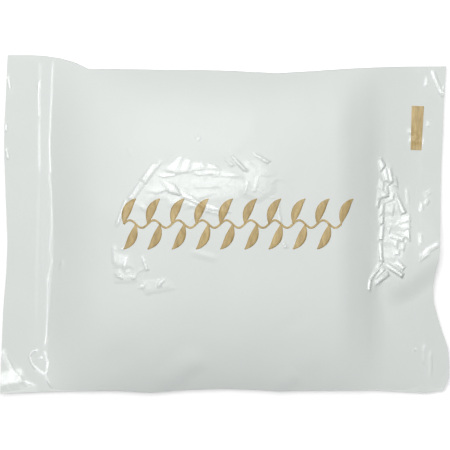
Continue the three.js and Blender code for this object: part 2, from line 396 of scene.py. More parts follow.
@dataclass(frozen=True)
class WeldFinish:
    """Film pressed smooth by hot bars, with faint lines from the bars."""

    name: str = "welded_film"
    light: Triple = (0.798, 0.836, 0.812)
    dark: Triple = (0.770, 0.808, 0.786)
    cloud_scale: float = 60.0
    dull: float = 0.58
    cloud_dulling: float = 0.12
    gloss_smoothing: float = 0.3
    coat_roughness: float = 0.16
    line_scale: float = 260.0
    line_sway: float = 0.6
    line_depth: float = 0.00001

    def material(self) -> Material:
        """Builds the material.

        Returns:
            The material.
        """
        tree = SurfaceTree(self.name)
        place = tree.place()
        cloud = tree.noise(place, self.cloud_scale)
        gloss = tree.gloss()
        bars = tree.value("ShaderNodeTexWave", {"bands_direction": "X"}, {
            "Vector": place, "Scale": self.line_scale, "Distortion": self.line_sway, "Detail": 1.0}, "Fac")
        return tree.finish({
            "Base Color": tree.mixed(cloud, self.dark, self.light),
            "Roughness": self.dull + cloud * self.cloud_dulling - gloss * self.gloss_smoothing,
            "Coat Weight": gloss,
            "Coat Roughness": self.coat_roughness,
            "Normal": tree.bump(bars, self.line_depth),
        })


@dataclass(frozen=True)
class InkFinish:
    """Satin gold ink, a little uneven where it was laid on."""

    name: str = "gold_ink"
    light: Triple = (0.645, 0.49, 0.224)
    dark: Triple = (0.365, 0.25, 0.09)
    streaks: Triple = (900.0, 260.0, 400.0)
    streak_start: float = 0.3
    streak_gain: float = 2.4
    satin: float = 0.38
    streak_dulling: float = 0.2
    coat: float = 0.15
    coat_roughness: float = 0.2

    def material(self) -> Material:
        """Builds the material.

        Returns:
            The material.
        """
        tree = SurfaceTree(self.name)
        streak = tree.noise(tree.stretched(self.streaks), 1.0, detail=3.0, roughness=0.6)
        share = ((streak - self.streak_start) * self.streak_gain).capped()
        return tree.finish({
            "Base Color": tree.mixed(share, self.dark, self.light),
            "Roughness": self.satin + streak * self.streak_dulling,
            "Coat Weight": self.coat,
            "Coat Roughness": self.coat_roughness,
        })


@dataclass(frozen=True)
class CapFilmFinish:
    """Thin frosted film of the cap, with fine crinkles."""

    name: str = "cap_film"
    light: Triple = (0.83, 0.87, 0.88)
    dark: Triple = (0.72, 0.77, 0.79)
    cloud_scale: float = 90.0
    frost: float = 0.24
    cloud_dulling: float = 0.16
    coat: float = 0.35
    coat_roughness: float = 0.1
    crinkles: Triple = (170.0, 300.0, 250.0)
    crinkle_depth: float = 0.0011

    def material(self) -> Material:
        """Builds the material.

        Returns:
            The material.
        """
        tree = SurfaceTree(self.name)
        crinkle = tree.noise(tree.stretched(self.crinkles), 1.0, detail=4.0, roughness=0.55)
        cloud = tree.noise(tree.place(), self.cloud_scale)
        return tree.finish({
            "Base Color": tree.mixed(cloud, self.dark, self.light),
            "Roughness": self.frost + cloud * self.cloud_dulling,
            "Coat Weight": self.coat,
            "Coat Roughness": self.coat_roughness,
            "Normal": tree.bump(crinkle, self.crinkle_depth),
        })


@dataclass(frozen=True)
class ElasticFinish:
    """Elastic cord covered with fine pale yarn; its colour is darkened in the grooves between the yarn's
    wraps as painted shade.
    """

    name: str = "covered_elastic"
    light: Triple = (0.86, 0.85, 0.80)
    # Painted shade for the grooves between the yarn's wraps
    dark: Triple = (0.66, 0.65, 0.60)
    yarn_scale: float = 900.0
    yarn_depth: float = 0.00008
    dull: float = 0.62
    yarn_dulling: float = 0.2

    def material(self) -> Material:
        """Builds the material.

        Returns:
            The material.
        """
        tree = SurfaceTree(self.name)
        yarn = tree.value("ShaderNodeTexWave", {"bands_direction": "DIAGONAL"}, {
            "Vector": tree.place(), "Scale": self.yarn_scale, "Distortion": 1.0}, "Fac")
        return tree.finish({
            # Painted shade: the colour follows the yarn's bump and is darker where the grooves between wraps
            # lie low
            "Base Color": tree.mixed(yarn, self.dark, self.light),
            "Roughness": self.dull + yarn * self.yarn_dulling,
            "Normal": tree.bump(yarn, self.yarn_depth),
        })


@dataclass(frozen=True)
class FloorFinish:
    """Plain pale floor that keeps the shadow and looks white to the camera."""

    name: str = "pale_floor"
    pale: float = 0.88
    glow: float = 0.42
    roughness: float = 0.9

    def material(self) -> Material:
        """Builds the material.

        Returns:
            The material.
        """
        tree = SurfaceTree(self.name)
        return tree.finish({
            "Base Color": (self.pale, self.pale, self.pale, 1.0),
            "Roughness": self.roughness,
            "Specular IOR Level": 0.0,
            "Emission Color": tree.mixed(tree.seen(), (0.0, 0.0, 0.0), (self.glow, self.glow, self.glow)),
            "Emission Strength": 1.0,
        })


# Wrinkles


class Profile(Enum):
    """Section of a fold: two flat facets, or a soft swell."""

    SHARP = "sharp"
    SOFT = "soft"


def measure(points: Points, x: Grid, y: Grid) -> tuple[Grid, Grid, Grid]:
    """Measures places against a line of points.

    Args:
        points: Corners of the line.
        x: Places along the sachet.
        y: Places across it.

    Returns:
        Distance from the line, a number that is positive on its left, and the share of its length.
    """
    corners = np.array(points, float)
    steps = np.diff(corners, axis=0)
    lengths = np.hypot(steps[:, 0], steps[:, 1])
    before = np.concatenate([[0.0], np.cumsum(lengths)])
    nearest, side, share = np.full(x.shape, np.inf), np.zeros(x.shape), np.zeros(x.shape)
    for corner, step, length, start in zip(corners, steps, lengths, before):
        dx, dy = x - corner[0], y - corner[1]
        along = np.clip((dx * step[0] + dy * step[1]) / length**2, 0.0, 1.0)
        away = np.hypot(dx - along * step[0], dy - along * step[1])
        closer = away < nearest
        nearest = np.where(closer, away, nearest)
        side = np.where(closer, step[0] * dy - step[1] * dx, side)
        share = np.where(closer, (start + along * length) / before[-1], share)
    return nearest, side, share


class Wrinkle:
    """Something that lifts or lowers the film, and may make it shine."""

    def box(self) -> tuple[Grid, Grid]:
        """Lowest and highest place that it reaches: everywhere, unless it says otherwise."""
        return np.full(2, -np.inf), np.full(2, np.inf)

    def read(self, x: Grid, y: Grid) -> tuple[Grid, Grid]:
        """Height and gloss at places inside the box."""
        raise NotImplementedError

    def at(self, x: Grid, y: Grid) -> tuple[Grid, Grid]:
        """Reads the wrinkle anywhere.

        Args:
            x: Places along the sachet.
            y: Places across it.

        Returns:
            Height and gloss at each place.
        """
        height, gloss = np.zeros(x.shape), np.zeros(x.shape)
        low, high = self.box()
        near = (x > low[0]) & (x < high[0]) & (y > low[1]) & (y < high[1])
        if near.any():
            height[near], gloss[near] = self.read(x[near], y[near])
        return height, gloss


@dataclass(frozen=True)
class Fold(Wrinkle):
    """A fold of the film along a line: a ridge, or a furrow where the height is negative.

    Left and right are the widths of its slopes on those sides of the line. It fades out over a share of its
    length at each end. Its gloss fades between two shares of those widths.
    """

    points: Points
    height: float
    left: float
    right: float
    gloss: float = 0.8
    fade: float = 0.3
    profile: Profile = Profile.SHARP
    gloss_fade: Pair = (0.7, 1.5)

    def box(self) -> tuple[Grid, Grid]:
        """Lowest and highest place that the fold and its gloss reach."""
        reach = self.gloss_fade[1] * max(self.left, self.right)
        return np.min(self.points, axis=0) - reach, np.max(self.points, axis=0) + reach

    def read(self, x: Grid, y: Grid) -> tuple[Grid, Grid]:
        """Reads the fold inside its box.

        Args:
            x: Places along the sachet.
            y: Places across it.

        Returns:
            Height and gloss at each place.
        """
        away, side, share = measure(self.points, x, y)
        width = np.where(side > 0.0, self.left, self.right)
        fading = smoothstep(np.minimum(share, 1.0 - share), 0.0, self.fade)
        slope = np.clip(1.0 - away / width, 0.0, 1.0)
        if self.profile is Profile.SOFT:
            slope = smoothstep(slope, 0.0, 1.0)
        start, end = self.gloss_fade
        shine = self.gloss * (1.0 - smoothstep(away, start * width, end * width))
        return self.height * slope * fading, shine * np.sqrt(fading)


@dataclass(frozen=True)
class Swell(Wrinkle):
    """A soft rise or hollow of the film, with no crease and no gloss."""

    centre: Pair
    radii: Pair
    height: float
    turn: float = 0.0

    def read(self, x: Grid, y: Grid) -> tuple[Grid, Grid]:
        """Reads the swell.

        Args:
            x: Places along the sachet.
            y: Places across it.

        Returns:
            Height and gloss at each place.
        """
        c, s = math.cos(math.radians(self.turn)), math.sin(math.radians(self.turn))
        dx, dy = x - self.centre[0], y - self.centre[1]
        u, v = (dx * c + dy * s) / self.radii[0], (dy * c - dx * s) / self.radii[1]
        return self.height * np.exp(-(u * u + v * v)), np.zeros(x.shape)


@dataclass(frozen=True)
class Shard(Wrinkle):
    """A flat facet of crumpled film: a patch that is tilted a little, with its rim turned down to the film.

    Its slope is the rise for each millimetre along and across the sachet. Its gloss fades over the feather,
    or over half the way to its middle where that is less.
    """

    corners: Points
    slope: Pair = (0.04, -0.06)
    gloss: float = 1.0
    feather: float = 0.6
    rim: float = 0.4

    def box(self) -> tuple[Grid, Grid]:
        """Lowest and highest place that the shard and its rim reach."""
        return np.min(self.corners, axis=0) - self.rim, np.max(self.corners, axis=0) + self.rim

    def read(self, x: Grid, y: Grid) -> tuple[Grid, Grid]:
        """Reads the shard inside its box.

        Args:
            x: Places along the sachet.
            y: Places across it.

        Returns:
            Height and gloss at each place.
        """
        corners = np.array(self.corners, float)
        spokes = corners - corners.mean(axis=0)
        corners = corners[np.argsort(np.arctan2(spokes[:, 1], spokes[:, 0]))]
        middle = corners.mean(axis=0)
        outside, core = np.full(x.shape, -np.inf), np.inf
        for start, end in zip(corners, np.roll(corners, -1, axis=0)):
            step = (end - start) / np.hypot(*(end - start))
            outside = np.maximum(outside, step[1] * (x - start[0]) - step[0] * (y - start[1]))
            core = min(core, step[0] * (middle[1] - start[1]) - step[1] * (middle[0] - start[0]))
        hold = np.clip(1.0 - outside / self.rim, 0.0, 1.0)
        lowest = (corners @ np.array(self.slope)).min()
        tilt = np.maximum(x * self.slope[0] + y * self.slope[1] - lowest, 0.0)
        feather = min(self.feather, 0.5 * core)
        return tilt * hold, self.gloss * (1.0 - smoothstep(outside, -feather, self.rim))


@dataclass(frozen=True)
class DogEar(Wrinkle):
    """A corner of the sachet that is bent up beyond a line, on the left of its direction."""

    start: Pair
    end: Pair
    slope: float
    bend: float = 0.9

    def read(self, x: Grid, y: Grid) -> tuple[Grid, Grid]:
        """Reads the corner.

        Args:
            x: Places along the sachet.
            y: Places across it.

        Returns:
            Height and gloss at each place.
        """
        step = np.subtract(self.end, self.start)
        aside = (step[0] * (y - self.start[1]) - step[1] * (x - self.start[0])) / np.hypot(*step)
        beyond = np.maximum(aside, 0.0)
        return self.slope * (np.sqrt(beyond**2 + self.bend**2) - self.bend), np.zeros(x.shape)


@dataclass(frozen=True)
class Crumple:
    """A patch along a line where the film is broken into facets by short folds at seeded places.

    Each fold is a ridge with a broad facet on its left, which faces about one way, and a steeper one
    behind. The pairs are the least and most that is drawn for each fold, as shares of the patch's own.
    """

    spine: Points
    reach: float
    slope: float
    length: float
    count: int
    seed: int
    gloss: float = 0.9
    facing: float = 112.0
    spread: float = 38.0
    breadth: float = 0.65
    scatter: float = 0.45
    bow: float = 0.25
    behind: float = 0.6
    fade: float = 0.45
    lengths: Pair = (0.5, 1.5)
    breadths: Pair = (0.6, 1.4)
    heights: Pair = (0.5, 1.4)
    shines: Pair = (0.6, 1.1)

    def folds(self) -> list[Fold]:
        """Scatters the folds along the spine.

        Returns:
            The folds.
        """
        draw = np.random.default_rng(self.seed)
        corners = np.array(self.spine, float)
        places = np.linspace(0.0, 1.0, len(corners))
        folds = []
        for _ in range(self.count):
            share = draw.uniform(0.0, 1.0)
            centre = np.array([np.interp(share, places, corners[:, axis]) for axis in (0, 1)])
            centre = centre + draw.normal(0.0, self.scatter * self.reach, 2)
            angle = math.radians(self.facing - 90.0 + draw.normal(0.0, self.spread))
            half = 0.5 * self.length * draw.uniform(*self.lengths)
            bend = draw.normal(0.0, self.bow * half)
            along = np.array([math.cos(angle), math.sin(angle)])
            aside = np.array([-along[1], along[0]])
            points = (centre - along * half, centre + aside * bend, centre + along * half)
            broad = half * self.breadth * draw.uniform(*self.breadths)
            height = self.slope * broad * draw.uniform(*self.heights)
            gloss = self.gloss * draw.uniform(*self.shines)
            folds.append(Fold(points, height, broad, self.behind * broad, gloss, self.fade))
        return folds


@dataclass(frozen=True)
class SoftDents:
    """Shallow rises and hollows all over the film, at seeded places."""

    count: int = 90
    seed: int = 5
    half_length: float = 58.0
    half_width: float = 42.0
    radius: Pair = (3.5, 9.0)
    narrowing: Pair = (0.35, 0.8)
    steepest: float = 0.018

    def swells(self) -> list[Swell]:
        """Scatters the dents.

        Returns:
            The dents as swells.
        """
        draw = np.random.default_rng(self.seed)
        dents = []
        for _ in range(self.count):
            x = draw.uniform(-self.half_length, self.half_length)
            y = draw.uniform(-self.half_width, self.half_width)
            radius = draw.uniform(*self.radius)
            radii = (radius, radius * draw.uniform(*self.narrowing))
            height = draw.uniform(-1.0, 1.0) * self.steepest * radius
            dents.append(Swell((x, y), radii, height, draw.uniform(0.0, 180.0)))
        return dents


# Where the photo shows the front creased

CENTRE_WRINKLES: list[Wrinkle] = [
    # Soft rise over the middle of the cap, with satin patches on it
    Swell((-6.0, 3.0), (20.0, 13.0), 0.6),
    Shard(((-25.0, 6.0), (-19.5, 15.6), (-11.0, 18.2), (2.0, 16.0), (8.0, 11.0), (4.0, 3.4),
           (-10.0, 4.2), (-23.0, 4.0)), (0.0, 0.0), 0.78, 3.5),
    Shard(((-25.4, 4.6), (-20.6, 12.6), (-16.6, 9.6), (-20.6, 4.4)), (0.0, -0.01), 0.74, 2.0, 1.2),
    Shard(((2.6, 17.4), (9.4, 18.2), (12.8, 14.0), (12.2, 9.0), (8.8, 6.8), (5.2, 8.2)),
          (0.0, -0.025), 0.76, 2.4, 1.4),
    Shard(((-16.0, 8.2), (-11.6, 7.6), (-8.6, 5.0), (-14.6, 5.0)), (0.0, -0.03), 0.82, 1.2, 0.9),
    Shard(((-10.8, 6.9), (-4.6, 4.8), (-4.4, 3.4), (-9.2, 4.4)), (0.0, -0.04), 0.88, 0.8, 0.6),
    Shard(((-5.2, 4.6), (0.4, 3.0), (-1.4, 2.3), (-5.0, 3.3)), (0.0, -0.05), 0.95, 0.6, 0.5),
    Shard(((-29.0, -7.4), (-25.2, -8.0), (-24.8, -11.2), (-28.8, -10.9)), (0.0, -0.045), 0.74, 1.4, 0.9),
    Shard(((-28.8, -11.4), (-24.6, -11.7), (-24.2, -14.8), (-28.6, -15.0)), (0.0, -0.045), 0.74, 1.4, 0.9),
    Shard(((-22.6, -14.6), (-15.2, -14.4), (-14.0, -16.8), (-20.6, -18.0)), (0.0, -0.05), 0.74, 1.4, 0.9),
    # Bright facets of the crumpled middle
    Fold(((-29.0, -1.5), (-27.3, 3.5), (-25.8, 7.4)), 0.12, 0.6, 0.6, 1.0, 0.2),
    Shard(((-25.9, 6.7), (-22.7, 11.5), (-21.2, 10.7), (-24.2, 6.5))),
    Shard(((-22.5, 11.7), (-19.3, 16.2), (-17.3, 15.8), (-21.0, 10.9))),
    Shard(((-16.3, 14.4), (-12.2, 18.3), (-10.9, 17.9), (-13.0, 13.6)), (0.02, -0.04)),
    Shard(((-10.7, 17.9), (-8.7, 17.0), (-9.9, 13.8), (-12.7, 13.5)), (0.01, -0.04)),
    Shard(((-9.0, 16.6), (-5.8, 16.7), (-4.8, 14.6), (-9.0, 14.1)), (0.0, -0.05)),
    Shard(((-5.3, 16.4), (-2.3, 15.5), (-1.4, 14.4), (-4.4, 14.6)), (0.0, -0.06)),
    Shard(((-9.2, 13.8), (-4.6, 14.3), (-1.8, 13.4), (-7.0, 12.9)), (0.0, -0.07)),
    Shard(((-18.6, 13.4), (-13.4, 12.8), (-10.0, 13.3), (-15.6, 11.9)), (0.0, -0.08)),
    Shard(((-17.4, 12.1), (-13.4, 10.3), (-12.0, 7.8), (-14.8, 8.5))),
    Shard(((-13.2, 10.1), (-8.4, 7.0), (-5.5, 4.5), (-11.4, 7.3)), (0.0, -0.05)),
    Shard(((-8.4, 6.8), (-2.6, 4.7), (1.3, 3.1), (-5.2, 4.2)), (0.0, -0.05)),
    Shard(((-10.5, 12.1), (-3.3, 12.1), (-1.2, 9.9), (-7.7, 9.6)), (0.0, -0.02), 0.82),
    Shard(((-5.6, 14.7), (2.4, 13.5), (4.5, 12.4), (-3.3, 12.8)), (0.0, -0.04), 0.9),
    Shard(((-22.0, 8.8), (-18.0, 8.2), (-15.2, 9.1), (-18.4, 9.9)), (0.02, -0.05), 0.9),
    Shard(((-11.0, 7.0), (-6.0, 8.6), (-2.0, 8.4), (-7.4, 6.6)), (0.0, -0.04), 0.8),
    Shard(((1.1, 19.2), (3.6, 16.4), (5.9, 14.1), (4.9, 14.3), (2.6, 16.6))),
    Shard(((-0.4, 17.4), (2.3, 15.6), (1.6, 15.3))),
    Shard(((7.1, 19.2), (11.7, 16.5), (11.2, 16.1), (7.4, 18.3))),
    Shard(((8.2, 12.6), (9.2, 12.9), (8.0, 8.6), (7.4, 8.8)), (0.06, -0.03)),
    Shard(((5.6, 11.4), (6.3, 11.2), (5.4, 8.2)), (0.05, -0.04)),
    Shard(((13.6, 5.8), (14.2, 5.6), (14.8, 0.2), (14.3, 0.4)), (0.05, -0.03), 0.9),
    Shard(((14.8, -4.2), (15.4, -4.4), (16.4, -6.2), (15.7, -6.2)), (0.05, -0.05)),
    # Facets at its lower left
    Fold(((-29.5, -4.6), (-29.0, -11.8)), 0.12, 0.8, 0.9),
    Shard(((-26.4, -8.8), (-25.9, -9.0), (-26.5, -12.2), (-27.2, -12.0)), (0.08, -0.05)),
    Shard(((-29.4, -13.0), (-27.4, -13.4), (-27.3, -14.3), (-28.4, -14.0)), (0.05, -0.12)),
    Shard(((-24.9, -13.2), (-23.9, -13.4), (-23.8, -14.6), (-24.6, -14.4)), (0.06, -0.1)),
    Shard(((-22.4, -16.0), (-21.0, -15.7), (-21.6, -16.9), (-22.9, -16.9)), (0.06, -0.1), 0.9),
    Shard(((-18.0, -14.6), (-16.7, -14.8), (-17.0, -16.4), (-17.8, -16.5)), (0.06, -0.1)),
    Shard(((-22.2, -8.4), (-21.6, -8.4), (-20.4, -12.0), (-20.9, -12.2)), (0.06, -0.05), 0.85),
    # Single folds round it
    Fold(((-9.9, -7.0), (-1.1, -9.6)), 0.14, 1.3, 1.3, 0.6),
    Fold(((-8.0, 22.9), (-6.3, 22.3)), 0.1, 0.7, 0.7),
    Fold(((-25.6, 20.6), (-25.0, 17.6)), 0.08, 0.8, 0.8, 0.5),
]
CENTRE_CRUMPLES = [
    Crumple(((-18.0, 14.0), (-11.0, 15.5), (-3.0, 12.5), (4.0, 11.0)),
            2.6, 0.05, 4.0, 14, 11, 0.7, 100.0, 38.0, 0.3),
    Crumple(((-24.0, 3.0), (-15.0, 6.0), (-4.0, 3.0)), 3.0, 0.06, 4.0, 10, 14, 0.75, 100.0, 38.0, 0.3),
    Crumple(((2.0, 16.0), (9.0, 14.5), (12.0, 8.0)), 3.4, 0.12, 4.0, 10, 12, 0.7, 62.0, 30.0, 0.25),
    Crumple(((-28.0, -6.0), (-26.0, -12.0), (-17.0, -15.5)), 2.2, 0.12, 3.0, 10, 13, 0.8, 130.0, 40.0, 0.3),
]
RIGHT_WRINKLES: list[Wrinkle] = [
    # Satin patches of the strip beside the cap's right end
    Shard(((40.9, 16.4), (44.0, 15.6), (44.8, 11.6), (41.0, 12.6)), (0.03, 0.0), 0.86, 1.2, 0.9),
    Shard(((40.6, 12.4), (45.0, 11.4), (45.9, 7.6), (40.9, 7.0)), (0.0, 0.0), 0.86, 1.2, 0.9),
    Shard(((41.2, 6.8), (46.0, 7.3), (47.5, 3.4), (41.9, 2.6)), (0.0, 0.0), 0.86, 1.2, 0.9),
    Shard(((42.0, 2.4), (48.9, 3.2), (49.3, -1.0), (42.2, -1.6)), (0.0, 0.0), 0.86, 1.2, 0.9),
    Shard(((41.8, -1.8), (49.2, -1.2), (49.0, -5.4), (42.0, -5.6)), (0.0, 0.0), 0.86, 1.2, 0.9),
    Shard(((41.8, -5.8), (48.8, -5.7), (47.4, -9.8), (41.9, -9.6)), (0.0, 0.0), 0.86, 1.2, 0.9),
    Shard(((42.0, -9.8), (47.6, -10.0), (46.6, -13.6), (43.0, -12.4)), (0.0, 0.0), 0.86, 1.2, 0.9),
    Shard(((38.6, -14.2), (41.8, -10.4), (43.0, -12.8), (39.8, -17.0)), (0.08, 0.0), 0.86, 1.2, 0.9),
    # Bright facets of the strip
    Shard(((40.7, 17.2), (41.7, 17.6), (42.6, 15.6), (41.6, 14.4)), (0.26, -0.1)),
    Shard(((43.1, 14.7), (44.2, 14.9), (44.9, 11.5), (43.7, 10.6)), (0.12, -0.09)),
    Shard(((42.2, 14.3), (42.9, 14.5), (43.4, 11.4), (42.7, 11.6)), (0.22, -0.1)),
    Shard(((45.1, 13.4), (45.8, 12.4), (46.0, 9.9), (45.2, 10.4)), (0.12, -0.1), 0.9),
    Shard(((41.2, 12.4), (42.3, 11.2), (42.0, 9.2), (40.7, 9.6)), (0.26, -0.09)),
    Shard(((42.4, 11.0), (43.2, 10.0), (43.5, 7.9), (42.2, 9.0)), (0.16, -0.09)),
    Shard(((40.6, 9.2), (42.0, 8.8), (43.4, 7.5), (40.7, 6.7)), (0.22, -0.09)),
    Shard(((45.3, 9.3), (44.9, 6.6), (42.2, 5.6), (43.5, 7.3)), (0.1, -0.09)),
    Shard(((40.3, 6.5), (41.1, 6.4), (40.9, 4.6), (40.4, 4.8)), (0.32, -0.12)),
    Shard(((41.3, 5.1), (42.3, 5.2), (42.0, 2.8), (41.1, 2.2)), (0.28, -0.12)),
    Shard(((40.8, 1.8), (42.2, 2.4), (42.1, 0.2), (41.4, -0.1)), (0.28, -0.12)),
    Shard(((41.4, -0.4), (42.3, -0.4), (41.9, -4.2), (40.9, -4.2)), (0.28, -0.1)),
    Shard(((40.9, -5.0), (41.7, -5.0), (41.9, -9.8), (41.2, -9.8)), (0.3, -0.1)),
    Shard(((45.4, 9.3), (48.2, 3.1), (47.1, 2.8), (46.0, 6.6)), (0.08, -0.07)),
    Shard(((49.3, 2.8), (49.4, 1.0), (46.0, 0.0), (46.1, 0.9)), (0.08, -0.09)),
    Shard(((49.3, 0.7), (49.4, -1.0), (47.4, -1.6), (46.1, -0.5)), (0.08, -0.09)),
    Shard(((49.2, -1.3), (49.3, -4.2), (47.7, -2.9), (46.4, -1.6)), (0.08, -0.08)),
    Shard(((43.5, 4.8), (45.1, 5.1), (44.7, 2.5), (43.7, 3.1)), (0.08, -0.07), 0.9),
    Shard(((43.3, -1.0), (44.1, -1.1), (43.7, -2.2)), (0.1, -0.1)),
    Shard(((43.9, -2.4), (47.7, -3.6), (47.4, -4.5), (44.2, -3.4)), (0.06, -0.09), 0.95),
    Shard(((44.8, -4.2), (46.0, -4.2), (45.8, -6.2), (44.9, -5.6)), (0.12, -0.09)),
    Shard(((46.6, -5.0), (48.0, -5.2), (47.6, -6.8), (46.8, -6.4)), (0.1, -0.09), 0.85),
    Shard(((45.2, -6.8), (46.4, -7.1), (46.3, -8.1), (45.3, -8.1)), (0.12, -0.12)),
    Shard(((42.2, -9.8), (47.4, -13.4), (47.1, -14.1), (42.2, -10.8)), (0.13, -0.1)),
    Shard(((45.8, -9.4), (47.9, -11.5), (47.4, -12.2), (45.4, -10.4)), (0.1, -0.1)),
    Shard(((40.6, -10.4), (42.0, -10.0), (40.5, -12.4), (40.0, -11.7)), (0.24, -0.1)),
    Shard(((40.1, -12.6), (40.8, -12.4), (39.0, -14.5), (38.4, -13.9)), (0.3, -0.1)),
    Shard(((38.2, -14.6), (39.0, -14.6), (38.6, -17.7), (37.9, -17.5)), (0.4, -0.06)),
    Shard(((43.2, -12.9), (43.6, -13.7), (40.3, -16.2), (39.8, -15.4)), (0.27, -0.14)),
    Shard(((41.9, -11.6), (42.4, -12.2), (40.4, -14.4), (39.9, -13.8)), (0.3, -0.12), 0.9),
    # Folds and facets along the right weld and skirt
    Fold(((48.6, 10.6), (48.9, 3.6)), 0.12, 0.7, 0.7),
    Fold(((52.9, 6.0), (52.3, 2.9)), 0.16, 0.7, 0.7),
    Fold(((53.8, 9.3), (55.0, 7.7)), 0.18, 0.9, 0.9),
    Fold(((52.1, -2.1), (52.4, -6.0)), 0.16, 0.7, 0.7),
    Fold(((52.1, -9.2), (54.1, -7.0), (57.6, -4.9)), 0.13, 0.9, 0.9, 1.0, 0.2),
    Shard(((52.0, -9.9), (54.5, -8.2), (54.2, -7.1), (52.5, -8.7)), (0.04, -0.1)),
    Fold(((48.5, -20.6), (53.7, -15.7)), -0.3, 2.6, 2.6, 0.2, 0.3, Profile.SOFT),
    Fold(((53.1, -31.4), (53.1, -38.6)), 0.14, 0.6, 0.6),
    Fold(((54.9, -33.0), (54.9, -42.0)), 0.14, 0.6, 0.6),
    Fold(((50.4, -33.2), (51.2, -34.0)), 0.12, 0.6, 0.6),
    Fold(((55.2, 41.7), (56.3, 38.6), (57.8, 35.2), (59.0, 35.9)), 0.22, 0.8, 0.8, 1.0, 0.15),
    Shard(((57.3, 36.6), (58.6, 37.0), (58.5, 34.2), (57.8, 34.0)), (0.03, -0.06)),
    Fold(((54.2, 39.6), (53.7, 36.4)), 0.12, 0.6, 0.6),
    Fold(((54.4, 28.0), (54.3, 25.6)), 0.12, 0.6, 0.6),
]
RIGHT_CRUMPLES = [
    Crumple(((44.4, 9.0), (45.2, 0.0), (44.4, -9.0)), 2.2, 0.08, 3.0, 14, 35, 0.85, 130.0, 45.0, 0.35),
    Crumple(((50.4, 25.5), (51.2, 22.0)), 1.4, 0.14, 2.6, 10, 39, 0.9, 130.0, 40.0),
    Crumple(((53.2, 8.0), (54.6, 5.2)), 0.9, 0.15, 2.0, 8, 40, 1.0, 130.0, 30.0),
]
LEFT_WRINKLES: list[Wrinkle] = [
    # Outer line of the left weld
    Fold(((-49.5, 44.5), (-49.6, 38.0)), 0.03, 0.4, 0.4, 0.6),
    Fold(((-49.6, 39.4), (-49.8, 33.2), (-49.7, 27.4)), 0.09, 0.4, 0.4, 1.0, 0.15),
    Fold(((-49.7, 28.4), (-49.8, 24.7), (-49.7, 13.0)), 0.02, 0.4, 0.4, 0.64, 0.2),
    Fold(((-49.8, 15.0), (-50.0, 0.0), (-50.4, -15.0), (-50.6, -32.0)), 0.03, 0.4, 0.4, 0.5),
    # Its inner line
    Fold(((-45.8, 43.9), (-46.0, 41.0), (-46.2, 35.4), (-46.4, 30.8), (-46.6, 26.3), (-46.6, 23.0)),
         0.02, 0.22, 0.32, 0.76, 0.1),
    Fold(((-46.6, 24.6), (-46.65, 20.9), (-46.55, 17.0), (-46.5, 12.6)), 0.02, 0.25, 0.42, 1.0, 0.12),
    Fold(((-47.0, 13.4), (-46.1, 6.2), (-46.2, -1.1), (-46.8, -7.0), (-46.2, -10.2), (-47.2, -14.5)),
         0.024, 0.22, 0.34, 0.8, 0.06),
    Fold(((-47.1, -13.0), (-47.3, -25.5), (-47.6, -30.7), (-48.1, -33.5)), 0.09, 0.35, 0.5, 1.0, 0.1),
    # Looped crease at the lower end of the left weld
    Fold(((-49.6, -33.7), (-51.0, -33.9), (-51.9, -34.6), (-52.2, -35.6), (-51.8, -36.8), (-50.9, -38.2),
          (-49.5, -39.4), (-48.0, -40.4)), 0.03, 0.4, 0.4, 1.0, 0.08),
    Fold(((-49.0, -39.6), (-48.0, -40.4), (-46.4, -43.4), (-46.0, -44.3)), 0.04, 0.4, 0.4, 1.0, 0.1),
    Fold(((-48.3, -33.9), (-47.3, -36.9), (-47.6, -39.5), (-48.0, -40.4)), 0.03, 0.35, 0.35, 1.0, 0.08),
    Fold(((-49.6, -35.6), (-48.7, -36.2)), 0.12, 0.5, 0.5),
    # Short fold beside the weld
    Fold(((-43.1, -9.2), (-44.1, -12.8)), 0.12, 0.6, 0.6),
    # Turned-up corner at the lower left
    Fold(((-59.3, -33.0), (-58.3, -35.9), (-56.4, -39.4), (-54.1, -41.7), (-49.9, -43.7)),
         0.15, 0.6, 1.2, 1.0, 0.1),
    Fold(((-61.0, -44.0), (-57.0, -42.6), (-53.0, -42.2)), 0.42, 3.6, 2.0, 1.0, 0.2),
    # Short folds along the left cut edge
    Fold(((-58.1, 40.4), (-57.2, 34.6)), 0.16, 0.5, 0.5, 1.0),
    Fold(((-58.5, 27.4), (-58.5, 24.2)), 0.16, 0.5, 0.5, 1.0),
    Fold(((-58.5, 20.8), (-57.8, 16.6)), 0.16, 0.5, 0.5, 1.0),
]
BOTTOM_WRINKLES: list[Wrinkle] = [
    Fold(((-19.5, -44.5), (-14.0, -42.0), (-10.5, -38.3), (-4.0, -34.7)),
         0.45, 6.0, 4.0, 0.0, 0.3, Profile.SOFT),
    Fold(((14.5, -44.5), (17.0, -42.0), (20.0, -39.5)), 0.3, 4.0, 3.0, 0.0, 0.3, Profile.SOFT),
]


# The sachet's form


class Layer(Enum):
    """Layers of the folded and welded web."""

    FRONT = "front"
    BACK = "back"
    WELD = "weld"
    FIN = "fin"


@dataclass(frozen=True)
class SoftLine:
    """A line through a few points, with its corners softened."""

    points: Points
    softness: float
    samples: int = 7

    def at(self, along: Grid) -> Grid:
        """Reads the line.

        Args:
            along: Places along it.

        Returns:
            Its value at each place.
        """
        places, values = zip(*self.points)
        shifts = np.linspace(-self.softness, self.softness, self.samples)
        return np.mean([np.interp(along + shift, places, values) for shift in shifts], axis=0)


@dataclass(frozen=True)
class Ripple:
    """Soft waves around a half, each with its height, pace and start."""

    waves: tuple[Triple, ...]

    def at(self, place: Grid) -> Grid:
        """Reads the waves."""
        return 0.5 + sum(height * np.sin(pace * place + start) for height, pace, start in self.waves)


